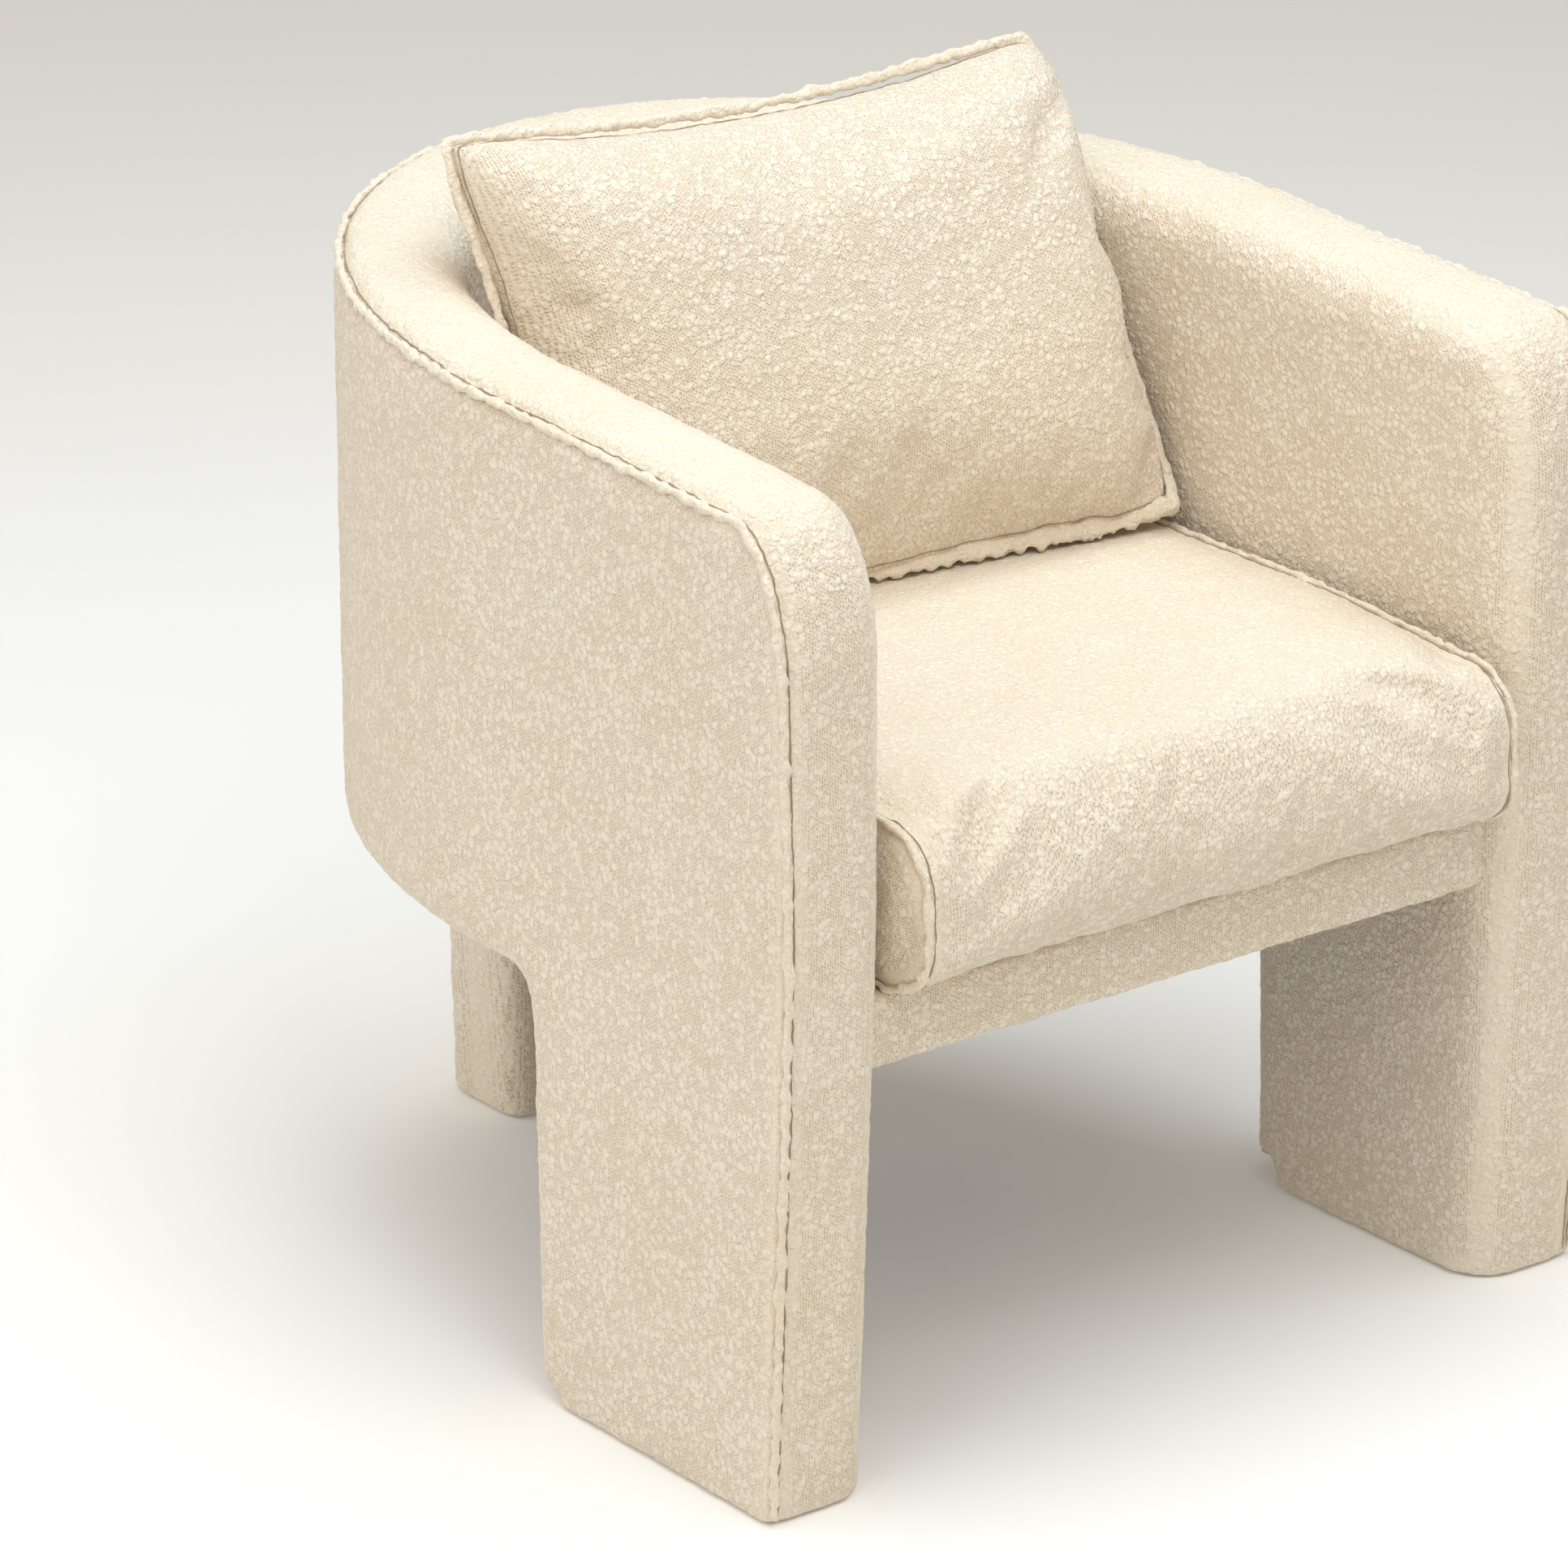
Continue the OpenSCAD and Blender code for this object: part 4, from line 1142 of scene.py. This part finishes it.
def build_pillow(across, up):
    """The pillow's front and back sheets, joined at the rim, with each vertex's place on its sheet."""
    u, v, mid, front, back = pillow_grid(across, up)
    n = (across + 1) * (up + 1)
    edge = (u == 0) | (u == 1) | (v == 0) | (v == 1)
    front_id = np.arange(n).reshape(u.shape)
    back_id = np.where(edge, front_id, -1)
    back_id[~edge] = n + np.arange((~edge).sum())
    verts = np.concatenate([front.reshape(-1, 3), back[~edge]])
    quads = np.concatenate([grid_cells(front_id), grid_cells(back_id)[:, ::-1]])
    rim = np.zeros(len(verts), bool)
    rim[front_id[edge]] = True
    uv = np.stack([u, v, np.zeros(u.shape)], -1)
    sheet_uv = np.concatenate([uv.reshape(-1, 3), uv[~edge]])
    ring = np.concatenate([mid[:, 0], mid[-1, 1:], mid[-2::-1, -1], mid[0, -2:0:-1]])
    return verts, quads, rim, sheet_uv, ring


PILLOW_ACROSS, PILLOW_UP = ((76, 50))
verts, quads, rim, sheet_uv, pillow_ring = build_pillow(PILLOW_ACROSS, PILLOW_UP)
pillow = quad_object("back_pillow_fabric", verts + PLACED, quads, fabric)
inflate(pillow, rim.astype(float), pressure=3.0, cap=0.010, grow=0.035)
write_vectors(pillow, "sheet", sheet_uv)
refine(pillow)
sheet_uv = read_vectors(pillow.data.attributes["sheet"].data, "vector")
set_weave(pillow, sheet_uv[:, 0] * PILLOW_W, sheet_uv[:, 1] * PILLOW_H, 0.9)
nubble(pillow)

# The underside comes down to the zip.
co = positions(pillow)
down = vertex_normals(pillow)[:, 2] < 0.1
zip_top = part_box("pillow_zip")[1][2] + 0.0002
near_zip = 1 - smooth_step(away_from(co, "pillow_zip", 0.0), 0.001, 0.030)
at_zip = down & (co[:, 2] < 0.545) & (near_zip > 0)
co[at_zip, 2] += (zip_top - co[at_zip, 2]) * near_zip[at_zip]
set_positions(pillow, co)
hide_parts("back_pillow_cover", "back_pillow_insert")
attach(pillow, "back_pillow")

# At the pillow's base the flange is pressed forward and spread on the cushion.
FLANGE_HALF = (0.0040, 0.0023)
FLANGE_OUT = 0.0028
FLANGE_LOW = 0.5012
BASE_SPREAD = 0.0035
BASE_IN = 0.0040
BASE_FORWARD = 0.0100
BASE_LIFT = 0.0068
ring_path = resample(pillow_ring, 0.0030, closed=True)
base_left, base_right, top_left = (np.asarray(CORNERS[k]) for k in ("bl", "br", "tl"))
plane = unit(np.cross(base_right - base_left, top_left - base_left))
ring_out = np.cross(tangents(ring_path, True), plane)
ring_out = unit(ring_out * np.sign((ring_out * (ring_path - pillow_ring.mean(0))).sum(1))[:, None])
at_base = 1 - smooth_step(ring_path[:, 2], 0.506, 0.530)[:, None]
flange_path = (
    ring_path + ring_out * (FLANGE_OUT - BASE_IN * at_base) + plane * (BASE_FORWARD * at_base) + PLACED
)
flange_path[:, 2] = np.maximum(flange_path[:, 2], FLANGE_LOW + BASE_LIFT * at_base[:, 0])
flange = strip(
    "back_pillow_flange", flange_path, plane, FLANGE_HALF[0] + BASE_SPREAD * at_base[:, 0], FLANGE_HALF[1],
    closed=True, sides=12, rough=0.22, seed=31,
)
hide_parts("back_pillow_welt")
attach(flange, "back_pillow")
# A dark line beside the pillow's seam: thread, with painted shade of the groove.
stitch_and_shade_path = (
    ring_path - ring_out * (0.0015 + 0.0055 * at_base) + plane * (0.005 + 0.008 * at_base) + PLACED
)
stitch_and_groove_shade_line("back_pillow_stitches_and_groove_shade", stitch_and_shade_path, True, pillow, "back_pillow", seed=32)

# ---- Stage, light and camera ----


def aim(obj, place, direction):
    """Puts a light or a camera somewhere, looking along a direction."""
    obj.location = place
    obj.rotation_mode = "QUATERNION"
    obj.rotation_quaternion = direction.to_track_quat("-Z", "Y")


def area_light(name, place, target, size, power, color):
    data = bpy.data.lights.new(name, "AREA")
    data.shape = "RECTANGLE"
    data.size, data.size_y = size
    data.energy = power
    data.color = color
    aim(link(name, data), Vector(place), Vector(target) - Vector(place))


LIGHTS = (  # name, place, target, size, watts and colour
    ("overhead", (0.1, -0.4, 3.2), (0, 0, 0.4), (3.0, 3.0), 74, (0.80, 0.91, 1.0)),
    ("left_fill", (-2.6, -0.6, 3.0), (0, 0, 0.4), (2.2, 2.2), 24, (1.0, 0.96, 0.91)),
    ("front_fill", (-0.7, -2.6, 3.3), (0, 0, 0.5), (2.2, 1.8), 28, (1.0, 0.95, 0.88)),
    ("rear_left", (-3.2, 2.4, 1.6), (0, 0, 0.5), (2.0, 2.0), 26, (0.88, 0.95, 1.0)),
)
for light in LIGHTS:
    area_light(*light)

WORLD_COLOR = rgb(1.0, 0.92, 0.80)
WORLD_STRENGTH = 0.44

world = bpy.data.worlds.new("studio")
bpy.context.scene.world = world
world.use_nodes = True
background = world.node_tree.nodes["Background"]
background.inputs["Color"].default_value = WORLD_COLOR
background.inputs["Strength"].default_value = WORLD_STRENGTH

n = Nodes("floor_paint")
place = n.add("TexCoord").outputs["Object"]
paint = n.mix(n.noise(place, 3, 2.0), rgb(0.93, 0.925, 0.91), rgb(0.945, 0.94, 0.93))
n.put(n.shader, "Base Color", paint)
n.shader.inputs["Roughness"].default_value = 0.9
n.shader.inputs["Specular IOR Level"].default_value = 0.1
n.shader.inputs["Emission Color"].default_value = rgb(1.0, 0.995, 0.98)
n.shader.inputs["Emission Strength"].default_value = 0.06
FLOOR_R = 30.0
FLOOR_SIDES = 96
turns = np.linspace(0, 2 * math.pi, FLOOR_SIDES + 1)[:-1]
floor_mesh = bpy.data.meshes.new("studio_floor")
floor_mesh.from_pydata(
    [(FLOOR_R * math.cos(a), FLOOR_R * math.sin(a), 0.0) for a in turns], [], [list(range(FLOOR_SIDES))]
)
floor = link("studio_floor", floor_mesh, n.material)

CAMERA_AZ = math.radians(37.66)
CAMERA_EL = math.radians(20.82)
CAMERA_DISTANCE = 5.6045
CAMERA_TARGET = Vector((-0.1008, 0.35 - MID_Y, 0.3763))
CAMERA_LENS = 181.64
forward = Vector(
    (
        math.sin(CAMERA_AZ) * math.cos(CAMERA_EL),
        math.cos(CAMERA_AZ) * math.cos(CAMERA_EL),
        -math.sin(CAMERA_EL),
    )
)
camera_data = bpy.data.cameras.new("camera")
camera_data.lens = CAMERA_LENS
camera_data.sensor_width = 36
camera_data.clip_end = 60
camera = link("camera", camera_data)
aim(camera, CAMERA_TARGET - forward * CAMERA_DISTANCE, forward)
bpy.context.scene.camera = camera
bpy.context.scene.view_settings.view_transform = "Standard"
